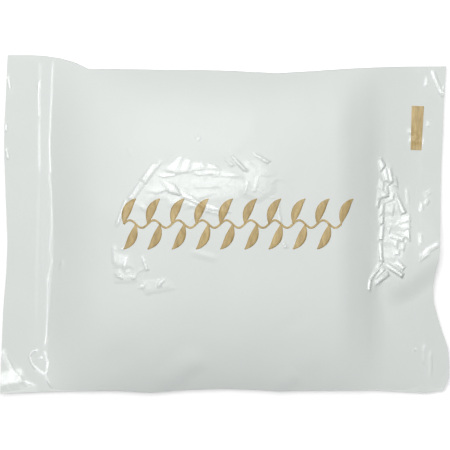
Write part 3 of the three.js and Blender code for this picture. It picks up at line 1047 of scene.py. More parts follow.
@dataclass(frozen=True)
class Pucker:
    """Slight puckers of the back, in patches."""

    height: float = 0.16
    pace: float = 0.55
    sway: float = 1.3
    sway_pace: float = 0.21
    patch_along: float = 0.08
    patch_across: float = 0.23

    def at(self, x: Grid, y: Grid) -> Grid:
        """Reads the puckers.

        Args:
            x: Places along the sachet.
            y: Places across it.

        Returns:
            Height at each place.
        """
        ridges = np.sin(self.pace * x + self.sway * np.sin(self.sway_pace * y)) ** 2
        patches = np.sin(self.patch_across * y + self.patch_along * x) ** 2
        return self.height * ridges * patches


RIGHT_END_WAVE: Points = ((40.0, -18.0), (47.5, -15.5), (52.3, -11.6), (64.0, -3.0))


@dataclass
class SachetForm:
    """Outline, heights and wrinkles of the filled sachet.

    A place across the film runs from -1 at the bottom fold to 1 at the top fold.
    """

    tear_line: float
    filled_end: float
    crest: float
    seal_height: float
    fold_height: float = 3.2
    fold_roll: float = 6.0
    dome_power: float = 3.8
    edge_power: int = 12
    left_skirt: float = 9.1
    left_seal: float = 3.2
    left_rise: float = 32.0
    left_gape: float = 0.55
    left_ripple: Ripple = Ripple(((0.3, 5.2, 0.6), (0.2, 11.0, 2.0)))
    right_skirt: float = 5.0
    right_seal: float = 1.6
    right_gape: float = 0.35
    right_ripple: Ripple = Ripple(((0.3, 6.3, 1.9), (0.2, 13.0, 0.0)))
    gape_power: float = 1.4
    crest_end: float = 6.0
    hip: Pair = (31.2, 0.67)
    apron_start: float = 41.0
    fall_softness: float = 2.0
    fin_width: float = 9.0
    fin_lift: float = 0.5
    fin_ramp: float = 3.0
    fin_drop: float = 0.28
    fin_wave: float = 0.07
    fin_wave_pace: Pair = (0.9, 0.3)
    fin_patch_pace: float = 0.31
    fin_gloss: float = 0.3
    back_gloss: float = 0.25
    pucker: Pucker = Pucker()
    film: float = 0.08
    least_weld: float = 0.02
    shallowest: float = 0.02
    deepest: float = 0.5
    left_cut: SoftLine = SoftLine(
        ((-1.0, -60.0), (-0.8, -59.8), (-0.46, -59.2), (-0.3, -58.5), (-0.11, -58.1), (0.1, -58.5),
         (0.45, -59.05), (0.62, -58.9), (0.8, -58.5), (1.0, -58.1)), 0.05)
    right_cut: SoftLine = SoftLine(
        ((-1.0, 58.0), (-0.97, 59.5), (-0.93, 60.0), (-0.86, 60.0), (-0.75, 59.6), (-0.6, 57.4),
         (-0.46, 55.7), (-0.38, 55.6), (-0.3, 56.1), (-0.2, 57.2), (0.0, 57.5), (0.35, 57.8), (0.6, 58.25),
         (0.8, 58.5), (0.9, 58.8), (1.0, 59.2)), 0.025)
    top_fold: SoftLine = SoftLine(
        ((-60.0, 45.2), (-52.0, 45.2), (-48.2, 45.0), (-44.2, 44.4), (-40.2, 43.2), (-36.2, 41.3),
         (-28.0, 41.3), (0.0, 40.9), (14.0, 40.2), (24.0, 40.8), (30.0, 41.2), (36.0, 41.6), (48.0, 42.1),
         (60.0, 42.2)), 0.6)
    bottom_fold: SoftLine = SoftLine(
        ((-60.0, -45.2), (-48.0, -44.7), (-30.0, -44.4), (-20.0, -45.0), (-10.0, -44.2), (0.0, -43.9),
         (9.0, -44.2), (14.0, -44.6), (20.0, -44.4), (40.0, -44.3), (48.0, -44.9), (53.4, -45.2),
         (58.0, -44.5), (60.0, -43.8)), 0.6)
    bends: tuple[Wrinkle, ...] = (
        DogEar((-49.9, -43.7), (-59.3, -33.0), 0.2),
        DogEar((60.0, -38.0), (55.0, -45.0), 0.12),
        Swell((-48.5, -45.0), (7.0, 9.0), 1.0),
        Fold(RIGHT_END_WAVE, 1.1, 16.0, 6.0, 0.0, 0.25, Profile.SOFT),
        Fold(RIGHT_END_WAVE, 0.7, 24.0, 30.0, 0.0, 0.25, Profile.SOFT),
    )
    wrinkles: list[Wrinkle] = field(default_factory=list)

    @classmethod
    def from_frame(cls) -> "SachetForm":
        """Takes the main sizes from the solids.

        Returns:
            The form, without wrinkles.
        """
        panel, end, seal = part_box("front_panel"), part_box("left_shoulder_front"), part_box("left_end_seal")
        cap_end_clearance = 1.5
        return cls(
            tear_line=(panel[0].x + end[1].x) / 2 / MM,
            filled_end=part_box("cap_crown")[1].x / MM + cap_end_clearance,
            crest=panel[1].z / MM,
            seal_height=(seal[0].z + seal[1].z) / 2 / MM,
        )

    def left_edge(self, across: Grid) -> Grid:
        """Left cut edge."""
        return self.left_cut.at(across)

    def left_band_outer(self, across: Grid) -> Grid:
        """Outer line of the left weld."""
        return self.left_edge(across) + self.left_skirt

    def left_band_inner(self, across: Grid) -> Grid:
        """Inner line of the left weld."""
        return self.left_band_outer(across) + self.left_seal

    def tear(self, across: Grid) -> Grid:
        """Line along which the left end tears off."""
        return np.full(np.shape(across), self.tear_line)

    def right_band_inner(self, across: Grid) -> Grid:
        """Inner line of the right weld."""
        return self.right_band_outer(across) - self.right_seal

    def right_band_outer(self, across: Grid) -> Grid:
        """Outer line of the right weld."""
        return self.right_edge(across) - self.right_skirt

    def right_edge(self, across: Grid) -> Grid:
        """Right cut edge."""
        return self.right_cut.at(across)

    def across_to_y(self, x: Grid, across: Grid) -> Grid:
        """Millimetres across the sachet, for places across the film."""
        return np.where(across >= 0.0, across * self.top_fold.at(x), -across * self.bottom_fold.at(x))

    def y_to_across(self, x: Grid, y: Grid) -> Grid:
        """Places across the film, for millimetres across the sachet."""
        return np.where(y >= 0.0, y / self.top_fold.at(x), -y / self.bottom_fold.at(x))

    def fullness(self, x: Grid, across: Grid) -> Grid:
        """Tells how far the back and the folds are filled.

        Args:
            x: Places along the sachet.
            across: Places across the film.

        Returns:
            0 at the welds, rising to 1 over the cap.
        """
        left = smoothstep(x, self.left_band_inner(across), self.tear_line)
        right = 1.0 - smoothstep(x, self.filled_end, self.right_band_inner(across))
        return np.minimum(left, right)

    def front_rise(self, x: Grid, across: Grid) -> Grid:
        """Tells how far the front rises from the left weld and falls again off the cap's right end.

        Args:
            x: Places along the sachet.
            across: Places across the film.

        Returns:
            Share of the whole rise.
        """
        from_left = np.clip((x - self.left_band_inner(across)) / self.left_rise, 0.0, 1.0)
        fall = SoftLine(((self.crest_end, 1.0), self.hip, (self.apron_start, 0.0)), self.fall_softness)
        return np.minimum(1.0 - (1.0 - from_left) ** 2, fall.at(x))

    def skirt_gape(self, x: Grid, across: Grid) -> Grid:
        """Tells how far each loose ply of the skirts stands off the middle, in soft waves.

        Args:
            x: Places along the sachet.
            across: Places across the film.

        Returns:
            Distance from the middle.
        """
        left = np.clip((self.left_band_outer(across) - x) / self.left_skirt, 0.0, 1.0)
        right = np.clip((x - self.right_band_outer(across)) / self.right_skirt, 0.0, 1.0)
        left_gape = self.left_gape * left**self.gape_power * self.left_ripple.at(across)
        return left_gape + self.right_gape * right**self.gape_power * self.right_ripple.at(across)

    def lift(self, x: Grid, y: Grid) -> Grid:
        """Lift of the bent corners and ends, for all the layers."""
        return sum(bend.at(x, y)[0] for bend in self.bends)

    def relief(self, x: Grid, y: Grid, across: Grid) -> tuple[Grid, Grid]:
        """Wrinkles of the front.

        Args:
            x: Places along the sachet.
            y: Millimetres across it.
            across: Places across the film.

        Returns:
            Height above the smooth form, and gloss, at each place.
        """
        height, gloss = np.zeros(x.shape), np.zeros(x.shape)
        for wrinkle in self.wrinkles:
            rise, shine = wrinkle.at(x, y)
            height += rise
            gloss = np.maximum(gloss, shine)
        rise = self.front_rise(x, across)
        deepest = self.shallowest + self.deepest * np.sqrt(rise)
        height = np.where(height < 0.0, deepest * np.tanh(height / deepest), height)
        return height, np.clip(np.maximum(gloss, SATIN * rise), 0.0, 1.0)

    def front(self, x: Grid, across: Grid) -> tuple[Grid, Grid]:
        """Outer face of the front.

        Args:
            x: Places along the sachet.
            across: Places across the film.

        Returns:
            Points with a last axis of 3, and gloss.
        """
        y = self.across_to_y(x, across)
        edge = lerp(self.seal_height, self.fold_height, self.fullness(x, across))
        dome = 1.0 - np.abs(across) ** self.dome_power
        inner = 1.0 - np.abs(across) ** self.edge_power
        relief, gloss = self.relief(x, y, across)
        z = edge + (self.crest - self.film - edge) * self.front_rise(x, across) * dome
        z = z + inner * (self.film + relief + self.skirt_gape(x, across)) + self.lift(x, y)
        return np.stack([x, y, z], axis=-1), gloss

    def back(self, x: Grid, across: Grid) -> tuple[Grid, Grid]:
        """Outer face of the back.

        Args:
            x: Places along the sachet.
            across: Places across the film.

        Returns:
            Points with a last axis of 3, and gloss.
        """
        y = self.across_to_y(x, across)
        fold = np.where(across >= 0.0, self.top_fold.at(x), -self.bottom_fold.at(x))
        roll = np.clip(1.0 - (fold - np.abs(y)) / self.fold_roll, 0.0, 1.0) ** 2
        beside_fin = smoothstep(y, self.fin_width, self.fin_width + self.fin_ramp)
        over_fin = np.where(across < 0.0, 0.0, 1.0 - beside_fin)
        inner = 1.0 - np.abs(across) ** self.edge_power
        filled = lerp(self.fin_lift * over_fin + self.pucker.at(x, y), self.fold_height, roll)
        end = self.seal_height - inner * (self.film + self.skirt_gape(x, across))
        z = lerp(end, filled, self.fullness(x, across)) + self.lift(x, y)
        return np.stack([x, y, z], axis=-1), np.full(x.shape, self.back_gloss)

    def fin(self, x: Grid, across: Grid) -> tuple[Grid, Grid]:
        """Middle of the fin, which lies close under the back; its free edge waves a little.

        Args:
            x: Places along the sachet.
            across: Places across the film.

        Returns:
            Points with a last axis of 3, and gloss.
        """
        back = self.back(x, across)[0]
        y = back[..., 1]
        free = np.clip(y / self.fin_width, 0.0, 1.0)
        along, aside = self.fin_wave_pace
        wave = free * np.sin(along * x + aside * y) * np.sin(self.fin_patch_pace * x)
        z = back[..., 2] - self.fin_drop + self.fin_wave * wave
        return np.stack([x, y, z], axis=-1), np.full(x.shape, self.fin_gloss)


# Meshes


@dataclass
class SheetMaker:
    """Makes closed thin sheets on grids that follow the sachet's form."""

    form: SachetForm
    step_along: float = 0.12
    step_across: float = 0.0025

    @staticmethod
    def between(start: Line, end: Line, across: Grid, cells: int) -> tuple[Grid, Grid]:
        """Grid of places between two lines across the film.

        Args:
            start: First line.
            end: Last line.
            across: Places across the film.
            cells: Number of cells along the sachet.

        Returns:
            Places along the sachet and places across the film, as two grids.
        """
        share = np.linspace(0.0, 1.0, cells + 1)[:, None]
        x = lerp(start(across)[None, :], end(across)[None, :], share)
        return x, np.broadcast_to(across[None, :], x.shape)

    def normals(self, surface: Surface, x: Grid, across: Grid) -> Grid:
        """Upward unit normals of a surface, from small steps along and across it.

        Args:
            surface: Gives points and gloss for places.
            x: Places along the sachet.
            across: Places across the film.

        Returns:
            Normals with a last axis of 3.
        """
        along = surface(x + self.step_along, across)[0] - surface(x - self.step_along, across)[0]
        up = np.clip(across + self.step_across, -1.0, 1.0)
        down = np.clip(across - self.step_across, -1.0, 1.0)
        normal = np.cross(along, surface(x, up)[0] - surface(x, down)[0])
        return normal / np.linalg.norm(normal, axis=-1, keepdims=True)

    @staticmethod
    def mesh(name: str, top: Grid, bottom: Grid, normal: Grid, gloss: Grid) -> Piece:
        """Makes a closed sheet from two grids of points.

        Args:
            name: The piece's name.
            top: Points of the upper face.
            bottom: Points of the lower face.
            normal: Upward normals.
            gloss: Gloss at each point.

        Returns:
            The new object.
        """
        rows, columns = top.shape[:2]
        count = rows * columns
        index = np.arange(count).reshape(rows, columns)
        corners = [index[:-1, :-1], index[1:, :-1], index[1:, 1:], index[:-1, 1:]]
        quads = np.stack(corners, -1).reshape(-1, 4)
        rim = np.concatenate([index[:, 0], index[-1, 1:], index[-2::-1, -1], index[0, -2:0:-1]])
        after = np.roll(rim, -1)
        sides = np.stack([rim, rim + count, after + count, after], -1)
        faces = np.concatenate([quads, quads[:, ::-1] + count, sides])
        mesh = bpy.data.meshes.new(name)
        points = np.concatenate([top.reshape(-1, 3), bottom.reshape(-1, 3)]) * MM
        mesh.vertices.add(2 * count)
        mesh.vertices.foreach_set("co", points.astype(np.float32).ravel())
        mesh.loops.add(faces.size)
        mesh.loops.foreach_set("vertex_index", faces.astype(np.int32).ravel())
        mesh.polygons.add(len(faces))
        mesh.polygons.foreach_set("loop_start", np.arange(0, faces.size, 4, dtype=np.int32))
        mesh.update(calc_edges=True)
        mesh.polygons.foreach_set("use_smooth", np.ones(len(faces), bool))
        shine = mesh.attributes.new(GLOSS, "FLOAT", "POINT")
        shine.data.foreach_set("value", np.tile(gloss.ravel(), 2).astype(np.float32))
        both = np.concatenate([normal.reshape(-1, 3), -normal.reshape(-1, 3)])
        mesh.normals_split_custom_set_from_vertices(both.tolist())
        return put_in_scene(name, mesh)

    def sheet(self, name: str, layer: Layer, x: Grid, across: Grid) -> Piece:
        """Makes a sheet of one layer.

        Args:
            name: The piece's name.
            layer: What it is cut from. A weld reaches from the front's outer face to the back's.
            x: Places along the sachet.
            across: Places across the film.

        Returns:
            The new object.
        """
        form = self.form
        surface = {Layer.BACK: form.back, Layer.FIN: form.fin}.get(layer, form.front)
        points, gloss = surface(x, across)
        normal = self.normals(surface, x, across)
        if layer is Layer.WELD:
            under = form.back(x, across)[0]
            under[..., 2] = np.minimum(under[..., 2], points[..., 2] - form.least_weld)
            return self.mesh(name, points, under, normal, gloss)
        depth = normal * form.film
        top = points if layer is Layer.FRONT else points + depth
        bottom = points if layer is Layer.BACK else points - depth
        return self.mesh(name, top, bottom, normal, gloss)


class Body(Enum):
    """Bodies of the part that pieces move with."""

    SACHET = "sachet"
    TEAR_END = "tear_end"
    CAP = "cap"


class Slot(Enum):
    """The record's slots for finishes."""

    FILM = "sachet_film"
    WELD = "sachet_weld"
    INK = "gold_ink"
    CAP_FILM = "cap_film"
    ELASTIC = "elastic"


def enrol(piece: Piece, body: Body, slot: Slot, *nodes: str) -> None:
    """Ties a finished piece to its body and hides the solids it stands for.

    Args:
        piece: The finished piece.
        body: Body that it moves with.
        slot: Slot of the record; not used.
        nodes: Solids that it replaces.
    """
    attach(piece, body.value)
    if nodes:
        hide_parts(*nodes)
    LOG.info("%s: %d faces on %s", piece.name, len(piece.data.polygons), body.value)


# The film web


@dataclass(frozen=True)
class Cut:
    """A piece of the web between two lines across it, and the solid that it stands for, if any."""

    name: str
    body: Body
    layer: Layer
    span: tuple[Line, Line]
    across: Grid
    cells: int
    node: str = ""


@dataclass
class Sachet:
    """The film web: front, back, welds, skirts and fin seam.

    The front has a finer mesh to the right of a line. Flat sizes, in metres, are those of the film before
    it is folded or filled.
    """

    form: SachetForm
    front_cells: int = 250
    back_cells: int = 60
    fin_cells: int = 14
    fin_start: float = 0.02
    fine_start: float = 37.0
    flat_width: float = 0.0905
    flat_half_width: float = 0.0455
    flat_front: float = 0.0728
    flat_end: float = 0.0148
    flat_back: float = 0.0858
    flat_end_back: float = 0.0138

    def build(self) -> None:
        """Makes all the film pieces and ties them to their bodies."""
        maker = SheetMaker(self.form)
        film, weld = FilmFinish().material(), WeldFinish().material()
        for cut in self._cuts():
            x, across = maker.between(*cut.span, cut.across, cut.cells)
            piece = maker.sheet(cut.name, cut.layer, x, across)
            is_weld = cut.layer in (Layer.WELD, Layer.FIN)
            piece.data.materials.append(weld if is_weld else film)
            enrol(piece, cut.body, Slot.WELD if is_weld else Slot.FILM, *([cut.node] if cut.node else []))

    def _fine_line(self, across: Grid) -> Grid:
        """Line at which the front's mesh becomes finer."""
        return np.full(np.shape(across), self.fine_start)

    def _cuts(self) -> list[Cut]:
        """Lists the pieces of the front, welds, back and fin, each from the left cut edge to the right one.

        Returns:
            The cuts. The back's two panels meet at the middle of the film, where the fin starts.
        """
        form, fine, end, rest = self.form, self._fine_line, Body.TEAR_END, Body.SACHET
        front = np.linspace(-1.0, 1.0, self.front_cells + 1)
        whole = np.linspace(-1.0, 1.0, 2 * self.back_cells + 1)
        upper, lower = whole[self.back_cells:], whole[:self.back_cells + 1]
        half_width = form.top_fold.at(np.zeros(1))
        fin = np.linspace(self.fin_start, form.fin_width, self.fin_cells + 1) / half_width
        left_skirt = (form.left_edge, form.left_band_outer)
        left_weld = (form.left_band_outer, form.left_band_inner)
        shoulder = (form.left_band_inner, form.tear)
        panel = (form.tear, form.right_band_inner)
        right_weld = (form.right_band_inner, form.right_band_outer)
        right_skirt = (form.right_band_outer, form.right_edge)
        fronts = [
            Cut("left_skirt_front_film", end, Layer.FRONT, left_skirt, front, 40, "left_skirt_front"),
            Cut("left_shoulder_film", end, Layer.FRONT, shoulder, front, 56, "left_shoulder_front"),
            Cut("front_film", rest, Layer.FRONT, (form.tear, fine), front, 188, "front_panel"),
            Cut("apron_film", rest, Layer.FRONT, (fine, form.right_band_inner), front, 56),
            Cut("right_skirt_front_film", rest, Layer.FRONT, right_skirt, front, 22, "right_skirt_front"),
        ]
        welds = [
            Cut("left_weld_band", end, Layer.WELD, left_weld, front, 18, "left_end_seal"),
            Cut("right_weld_band", rest, Layer.WELD, right_weld, front, 8, "right_end_seal"),
        ]
        backs = [
            Cut("left_skirt_back_film", end, Layer.BACK, left_skirt, whole, 14, "left_skirt_back"),
            Cut("left_shoulder_back_upper_film", end, Layer.BACK, shoulder, upper, 18,
                "left_shoulder_back_upper"),
            Cut("left_shoulder_back_lower_film", end, Layer.BACK, shoulder, lower, 18,
                "left_shoulder_back_lower"),
            Cut("back_upper_film", rest, Layer.BACK, panel, upper, 90, "back_panel_upper"),
            Cut("back_lower_film", rest, Layer.BACK, panel, lower, 90, "back_panel_lower"),
            Cut("right_skirt_back_film", rest, Layer.BACK, right_skirt, whole, 8, "right_skirt_back"),
        ]
        fins = [
            Cut("left_fin_film", end, Layer.FIN, (form.left_edge, form.tear), fin, 44, "left_fin_seam"),
            Cut("back_fin_film", rest, Layer.FIN, (form.tear, form.right_edge), fin, 150, "back_fin_seam"),
        ]
        return fronts + welds + backs + fins


# Printing


@dataclass
class Prints:
    """Gold printing on the front: the eye mark for the packing machine and a garland.

    The ink reaches from a little below the film's outer face to a little above it.
    """

    form: SachetForm
    mark_corners: Points = ((49.6, 19.8), (52.5, 19.7), (53.2, 31.5), (49.9, 31.6))
    mark_cells: tuple[int, int] = (10, 36)
    above: float = 0.1
    below: float = 0.05
    leaves: int = 19
    pitch: float = 3.2
    slant: float = 64.0
    leaf_length: float = 7.4
    leaf_width: float = 2.3
    leaf_bow: Pair = (0.6, 0.22)
    leaf_tip: float = 0.1
    leaf_points: int = 18
    stem_wave: float = 1.0
    stem_width: float = 0.55
    stem_points: int = 200
    stroke_points: int = 5
    row_centre: Pair = (2.0, 0.0)

    def build(self) -> None:
        """Makes both prints and ties them to the sachet."""
        ink = InkFinish().material()
        self._mark(ink)
        self._garland(ink)

    def _mark(self, ink: Material) -> None:
        """Makes a plain four-sided patch of ink.

        Args:
            ink: What it is made of.
        """
        corners = np.array(self.mark_corners)
        u = np.linspace(0.0, 1.0, self.mark_cells[0] + 1)[:, None, None]
        v = np.linspace(0.0, 1.0, self.mark_cells[1] + 1)[None, :, None]
        flat = lerp(lerp(corners[0], corners[1], u), lerp(corners[3], corners[2], u), v)
        x, y = flat[..., 0], flat[..., 1]
        across = self.form.y_to_across(x, y)
        points = self.form.front(x, across)[0]
        maker = SheetMaker(self.form)
        normal = maker.normals(self.form.front, x, across)
        up = np.array([0.0, 0.0, 1.0])
        top, bottom = points + self.above * up, points - self.below * up
        piece = maker.mesh("eye_mark", top, bottom, normal, np.zeros(x.shape))
        piece.data.materials.append(ink)
        enrol(piece, Body.SACHET, Slot.INK)

    def _ribbon(self, tree: GeometryTree, curve: Link, width: Socket) -> Link:
        """A flat stroke along a curve.

        Args:
            tree: Tree that it is drawn in.
            curve: The curve.
            width: Its width, which may change along it.

        Returns:
            The stroke's mesh.
        """
        ends = {"Start": (-0.5, 0.0, 0.0), "End": (0.5, 0.0, 0.0)}
        line = tree.link("GeometryNodeCurvePrimitiveLine", {}, ends)
        stroke = tree.link("GeometryNodeResampleCurve", {}, {"Curve": line, "Count": self.stroke_points})
        upright = tree.link("GeometryNodeSetCurveNormal", {"mode": "Z_UP"}, {"Curve": curve})
        inputs = {"Curve": upright, "Profile Curve": stroke, "Scale": width}
        return tree.link("GeometryNodeCurveToMesh", {}, inputs)

    def _stem(self, tree: GeometryTree, count: Socket, pitch: Socket, along: Socket) -> Link:
        """A stem that waves from leaf to leaf.

        Args:
            tree: Tree that it is drawn in.
            count: Number of leaves.
            pitch: Distance between them.
            along: Share of the length of a curve.

        Returns:
            The stem's mesh.
        """
        thin = tree.number("Stem width", self.stem_width * MM)
        wave = tree.number("Wave", self.stem_wave * MM)
        last = count - 1
        straight = tree.link("GeometryNodeCurvePrimitiveLine", {}, {"End": tree.vector(X=last * pitch)})
        fine = tree.link("GeometryNodeResampleCurve", {}, {"Curve": straight, "Count": self.stem_points})
        sway = tree.vector(Y=wave * (along * last * math.pi).sine())
        stem = tree.link("GeometryNodeSetPosition", {}, {"Geometry": fine, "Offset": sway})
        return self._ribbon(tree, stem, thin)

    def _leaves(self, tree: GeometryTree, count: Socket, pitch: Socket, along: Socket) -> Link:
        """Bowed leaves in a row, slanted to one side and the other in turn.

        Args:
            tree: Tree that they are drawn in.
            count: Number of leaves.
            pitch: Distance between them.
            along: Share of the length of a curve.

        Returns:
            The leaves' mesh.
        """
        slant = tree.number("Slant", math.radians(self.slant))
        length = tree.number("Length", self.leaf_length * MM)
        wide = tree.number("Leaf width", self.leaf_width * MM)
        bow = tree.vector(X=length * self.leaf_bow[0], Y=length * self.leaf_bow[1])
        leaf = tree.link("GeometryNodeCurveQuadraticBezier", {}, {
            "Resolution": self.leaf_points, "Start": (0.0, 0.0, 0.0), "Middle": bow,
            "End": tree.vector(X=length)})
        row = tree.link("GeometryNodeMeshLine", {}, {"Count": count, "Offset": tree.vector(X=pitch)})
        side = tree.value("GeometryNodeInputIndex", {}, {}) % 2.0
        turn = tree.vector(Z=slant + side * math.pi)
        placed = tree.link("GeometryNodeInstanceOnPoints", {}, {
            "Points": row, "Instance": leaf, "Rotation": turn})
        leaves = tree.link("GeometryNodeRealizeInstances", {}, {"Geometry": placed})
        swell = self.leaf_tip + (1.0 - self.leaf_tip) * (along * math.pi).sine()
        return self._ribbon(tree, leaves, wide * swell)

    def _garland(self, ink: Material) -> None:
        """Draws a garland flat by Geometry Nodes, and then lays it on the film.

        Args:
            ink: What it is made of.
        """
        tree = GeometryTree("garland", ink)
        count = tree.number("Leaves", self.leaves)
        pitch = tree.number("Pitch", self.pitch * MM)
        along = tree.value("GeometryNodeSplineParameter", {}, {}, "Factor")
        joined = tree.node("GeometryNodeJoinGeometry", {}, {0: self._stem(tree, count, pitch, along)})
        tree.join(joined, {0: self._leaves(tree, count, pitch, along)})
        blank = put_in_scene("garland_print", bpy.data.meshes.new("garland_print"))
        piece = tree.run(blank, joined.outputs[0])
        self._lay(piece)
        enrol(piece, Body.SACHET, Slot.INK)

    def _lay(self, piece: Piece) -> None:
        """Lays a flat drawing on the film and gives it a little thickness.

        Args:
            piece: The drawing, which starts at its left end.
        """
        merge_distance = 1e-6
        mesh = piece.data
        flat = np.empty(3 * len(mesh.vertices), np.float32)
        mesh.vertices.foreach_get("co", flat)
        flat = flat.reshape(-1, 3) / MM
        start = self.row_centre[0] - 0.5 * (self.leaves - 1) * self.pitch
        x = flat[:, 0] + start
        points = self.form.front(x, self.form.y_to_across(x, flat[:, 1] + self.row_centre[1]))[0]
        points[:, 2] += self.above
        mesh.vertices.foreach_set("co", (points * MM).astype(np.float32).ravel())
        shape = bmesh.new()
        shape.from_mesh(mesh)
        bmesh.ops.remove_doubles(shape, verts=shape.verts, dist=merge_distance)
        if sum(face.normal.z for face in shape.faces) < 0.0:
            bmesh.ops.reverse_faces(shape, faces=shape.faces)
        bmesh.ops.solidify(shape, geom=shape.faces[:], thickness=(self.above + self.below) * MM)
        bmesh.ops.recalc_face_normals(shape, faces=shape.faces)
        shape.to_mesh(mesh)
        shape.free()


# The folded cap


@dataclass
class FoldedCap:
    """The cap: film in many leaves, with its gathered hem and elastic between them.

    Under the hem the leaves are wide, and over it they are narrow and more crumpled.
    """

    disc: float = 480.0
    film: float = 0.03
    seed: int = 4
    leaves_under: int = 31
    leaves_over: int = 10
    leaf_pitch: float = 0.057
    leaf_cells: int = 16
    top_cells: int = 60
    turn_cells: int = 3
    cells_along: int = 50
    sag: float = 0.1
    side_room: float = 0.6
    past_hem: float = 3.2
    uneven_under: float = 1.8
    uneven_over: float = 0.8
    end_room: Pair = (0.3, 2.1)
    ragged: float = 0.6
    ragged_pace: float = 0.19
    phases: float = 6.0
    side_waves: tuple[Triple, ...] = ((1.0, 0.21, 1.0), (0.5, 0.47, 2.0))
    side_wave: float = 0.012
    calm_height: float = 2.0
    calm_edge: Pair = (14.0, 21.0)
    flat_relief: float = 0.12
    top_relief: float = 0.42
    edge_relief: float = 0.2
    top_room: float = 0.1
    crumple: Crumple = Crumple(
        ((-28.0, -14.0), (-8.0, 12.0), (10.0, -10.0), (28.0, 12.0)), 20.0, 0.2, 15.0, 110, 9, breadth=0.26)
    cord_radius_in_solids: float = 0.5
    hem_corner: float = 14.0
    corner_steps: int = 12
    hem_half_width: float = 1.35
    hem_half_height: float = 0.85
    hem_sides: int = 14
    gathers: int = 74
    gather_points: int = 8
    gather_depth: float = 0.22
    uneven_scale: float = 40.0
    uneven_gathers: float = 5.0
    elastic_radius: float = 0.45
    elastic_points: int = 240
    elastic_sides: int = 10

    def build(self) -> None:
        film = CapFilmFinish().material()
        crown = self._crown(film)
        hem = self._hem(film)
        cord = self._elastic(ElasticFinish().material())
        enrol(crown, Body.CAP, Slot.CAP_FILM, "cap_crown")
        enrol(hem, Body.CAP, Slot.CAP_FILM, "cap_hem")
        enrol(cord, Body.CAP, Slot.ELASTIC, "cap_elastic")

    def _section(self) -> tuple[Grid, Grid]:
        """Section of the folded film.

        Returns:
            Points across and up, and the leaf that each is part of.
        """
        draw = np.random.default_rng(self.seed)
        low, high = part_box("cap_crown")
        under_start, over_end = low.z / MM - self.sag, high.z / MM
        heights = [under_start + self.leaf_pitch * i for i in range(self.leaves_under)]
        over_start = over_end - self.leaf_pitch * (self.leaves_over - 1)
        heights += [over_start + self.leaf_pitch * i for i in range(self.leaves_over)]
        wide, narrow = high.y / MM - self.side_room, self._hem_half()[1] + self.past_hem
        total = len(heights)
        reach = [wide - draw.uniform(0.0, self.uneven_under) for _ in range(self.leaves_under)]
        reach += [narrow - draw.uniform(0.0, self.uneven_over) for _ in range(self.leaves_over)]
        points, leaf = [], []
        for i in range(total):
            side = 1.0 if i % 2 == 0 else -1.0
            before = min(reach[i], reach[i - 1]) if i else reach[0]
            after = min(reach[i], reach[i + 1]) if i + 1 < total else reach[i]
            cells = self.top_cells if i + 1 == total else self.leaf_cells
            for y in np.linspace(-side * before, side * after, cells):
                points.append((y, heights[i]))
                leaf.append(float(i))
            if i + 1 < total:
                radius = (heights[i + 1] - heights[i]) / 2.0
                for angle in np.linspace(-math.pi / 2.0, math.pi / 2.0, self.turn_cells + 2)[1:-1]:
                    y = side * (after + radius * math.cos(angle))
                    points.append((y, heights[i] + radius * (1.0 + math.sin(angle))))
                    leaf.append(i + 0.5)
        return np.array(points), np.array(leaf)

    def _wrinkles(self, x: Grid, y: Grid, leaf: Grid) -> Grid:
        """Soft wrinkles: slight in the leaves under the hem, and stronger in those over it.

        Args:
            x: Places along the sachet.
            y: Places across it.
            leaf: The leaf that each place is part of.

        Returns:
            Height above the flat leaves.
        """
        relief = sum(fold.at(x, y)[0] for fold in self.crumple.folds()) - self.top_relief
        over = smoothstep(leaf, self.leaves_under - 1.0, float(self.leaves_under))[None, :]
        near_edge = smoothstep(np.abs(y), *self.calm_edge)
        size = lerp(self.flat_relief, lerp(self.top_relief, self.edge_relief, near_edge), over)
        under_top = np.where(leaf < leaf.max(), self.top_room, 0.0)[None, :]
        return size * np.tanh(relief / self.top_relief) - under_top * over

    def _crown(self, film: Material) -> Piece:
        """Makes the leaves, run along the sachet with ragged ends and soft wrinkles.

        Args:
            film: What they are made of.

        Returns:
            The new object.
        """
        section, leaf = self._section()
        draw = np.random.default_rng(self.seed + 1)
        low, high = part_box("cap_crown")
        places = np.arange(0.0, leaf.max() + 2.0)
        phase = np.interp(leaf, places, draw.uniform(0.0, self.phases, len(places)))
        ends = []
        for turns in (1, 2):
            room = np.interp(leaf, places, draw.uniform(*self.end_room, len(places)))
            tooth = 1.0 + np.sin(self.ragged_pace * section[:, 0] + turns * phase)
            ends.append(room + self.ragged * tooth)
        share = np.linspace(0.0, 1.0, self.cells_along + 1)[:, None]
        x = lerp(low.x / MM + ends[0][None, :], high.x / MM - ends[1][None, :], share)
        wave = sum(height * np.sin(pace * x + turns * phase[None, :])
                   for height, pace, turns in self.side_waves)
        crest = sum(height for height, _, _ in self.side_waves)
        y = section[:, 0][None, :] * (1.0 + self.side_wave * (wave - crest))
        rise = np.clip((section[:, 1] - low.z / MM) / self.calm_height, 0.0, 1.0)
        z = section[:, 1][None, :] + self._wrinkles(x, y, leaf) * rise[None, :]
        points = np.stack([x, y, z], axis=-1)
        normal = np.cross(np.gradient(points, axis=0), np.gradient(points, axis=1))
        normal /= np.linalg.norm(normal, axis=-1, keepdims=True)
        half = normal * self.film / 2.0
        piece = SheetMaker.mesh("cap_crown_film", points + half, points - half, normal, np.zeros(x.shape))
        piece.data.materials.append(film)
        return piece

    def _hem_half(self) -> Pair:
        """Measures the loop that the hem follows.

        Returns:
            Its half length and half width.
        """
        low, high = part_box("cap_elastic")
        around = 2.0 * self.cord_radius_in_solids
        return ((high.x - low.x) / MM - around) / 2.0, ((high.y - low.y) / MM - around) / 2.0

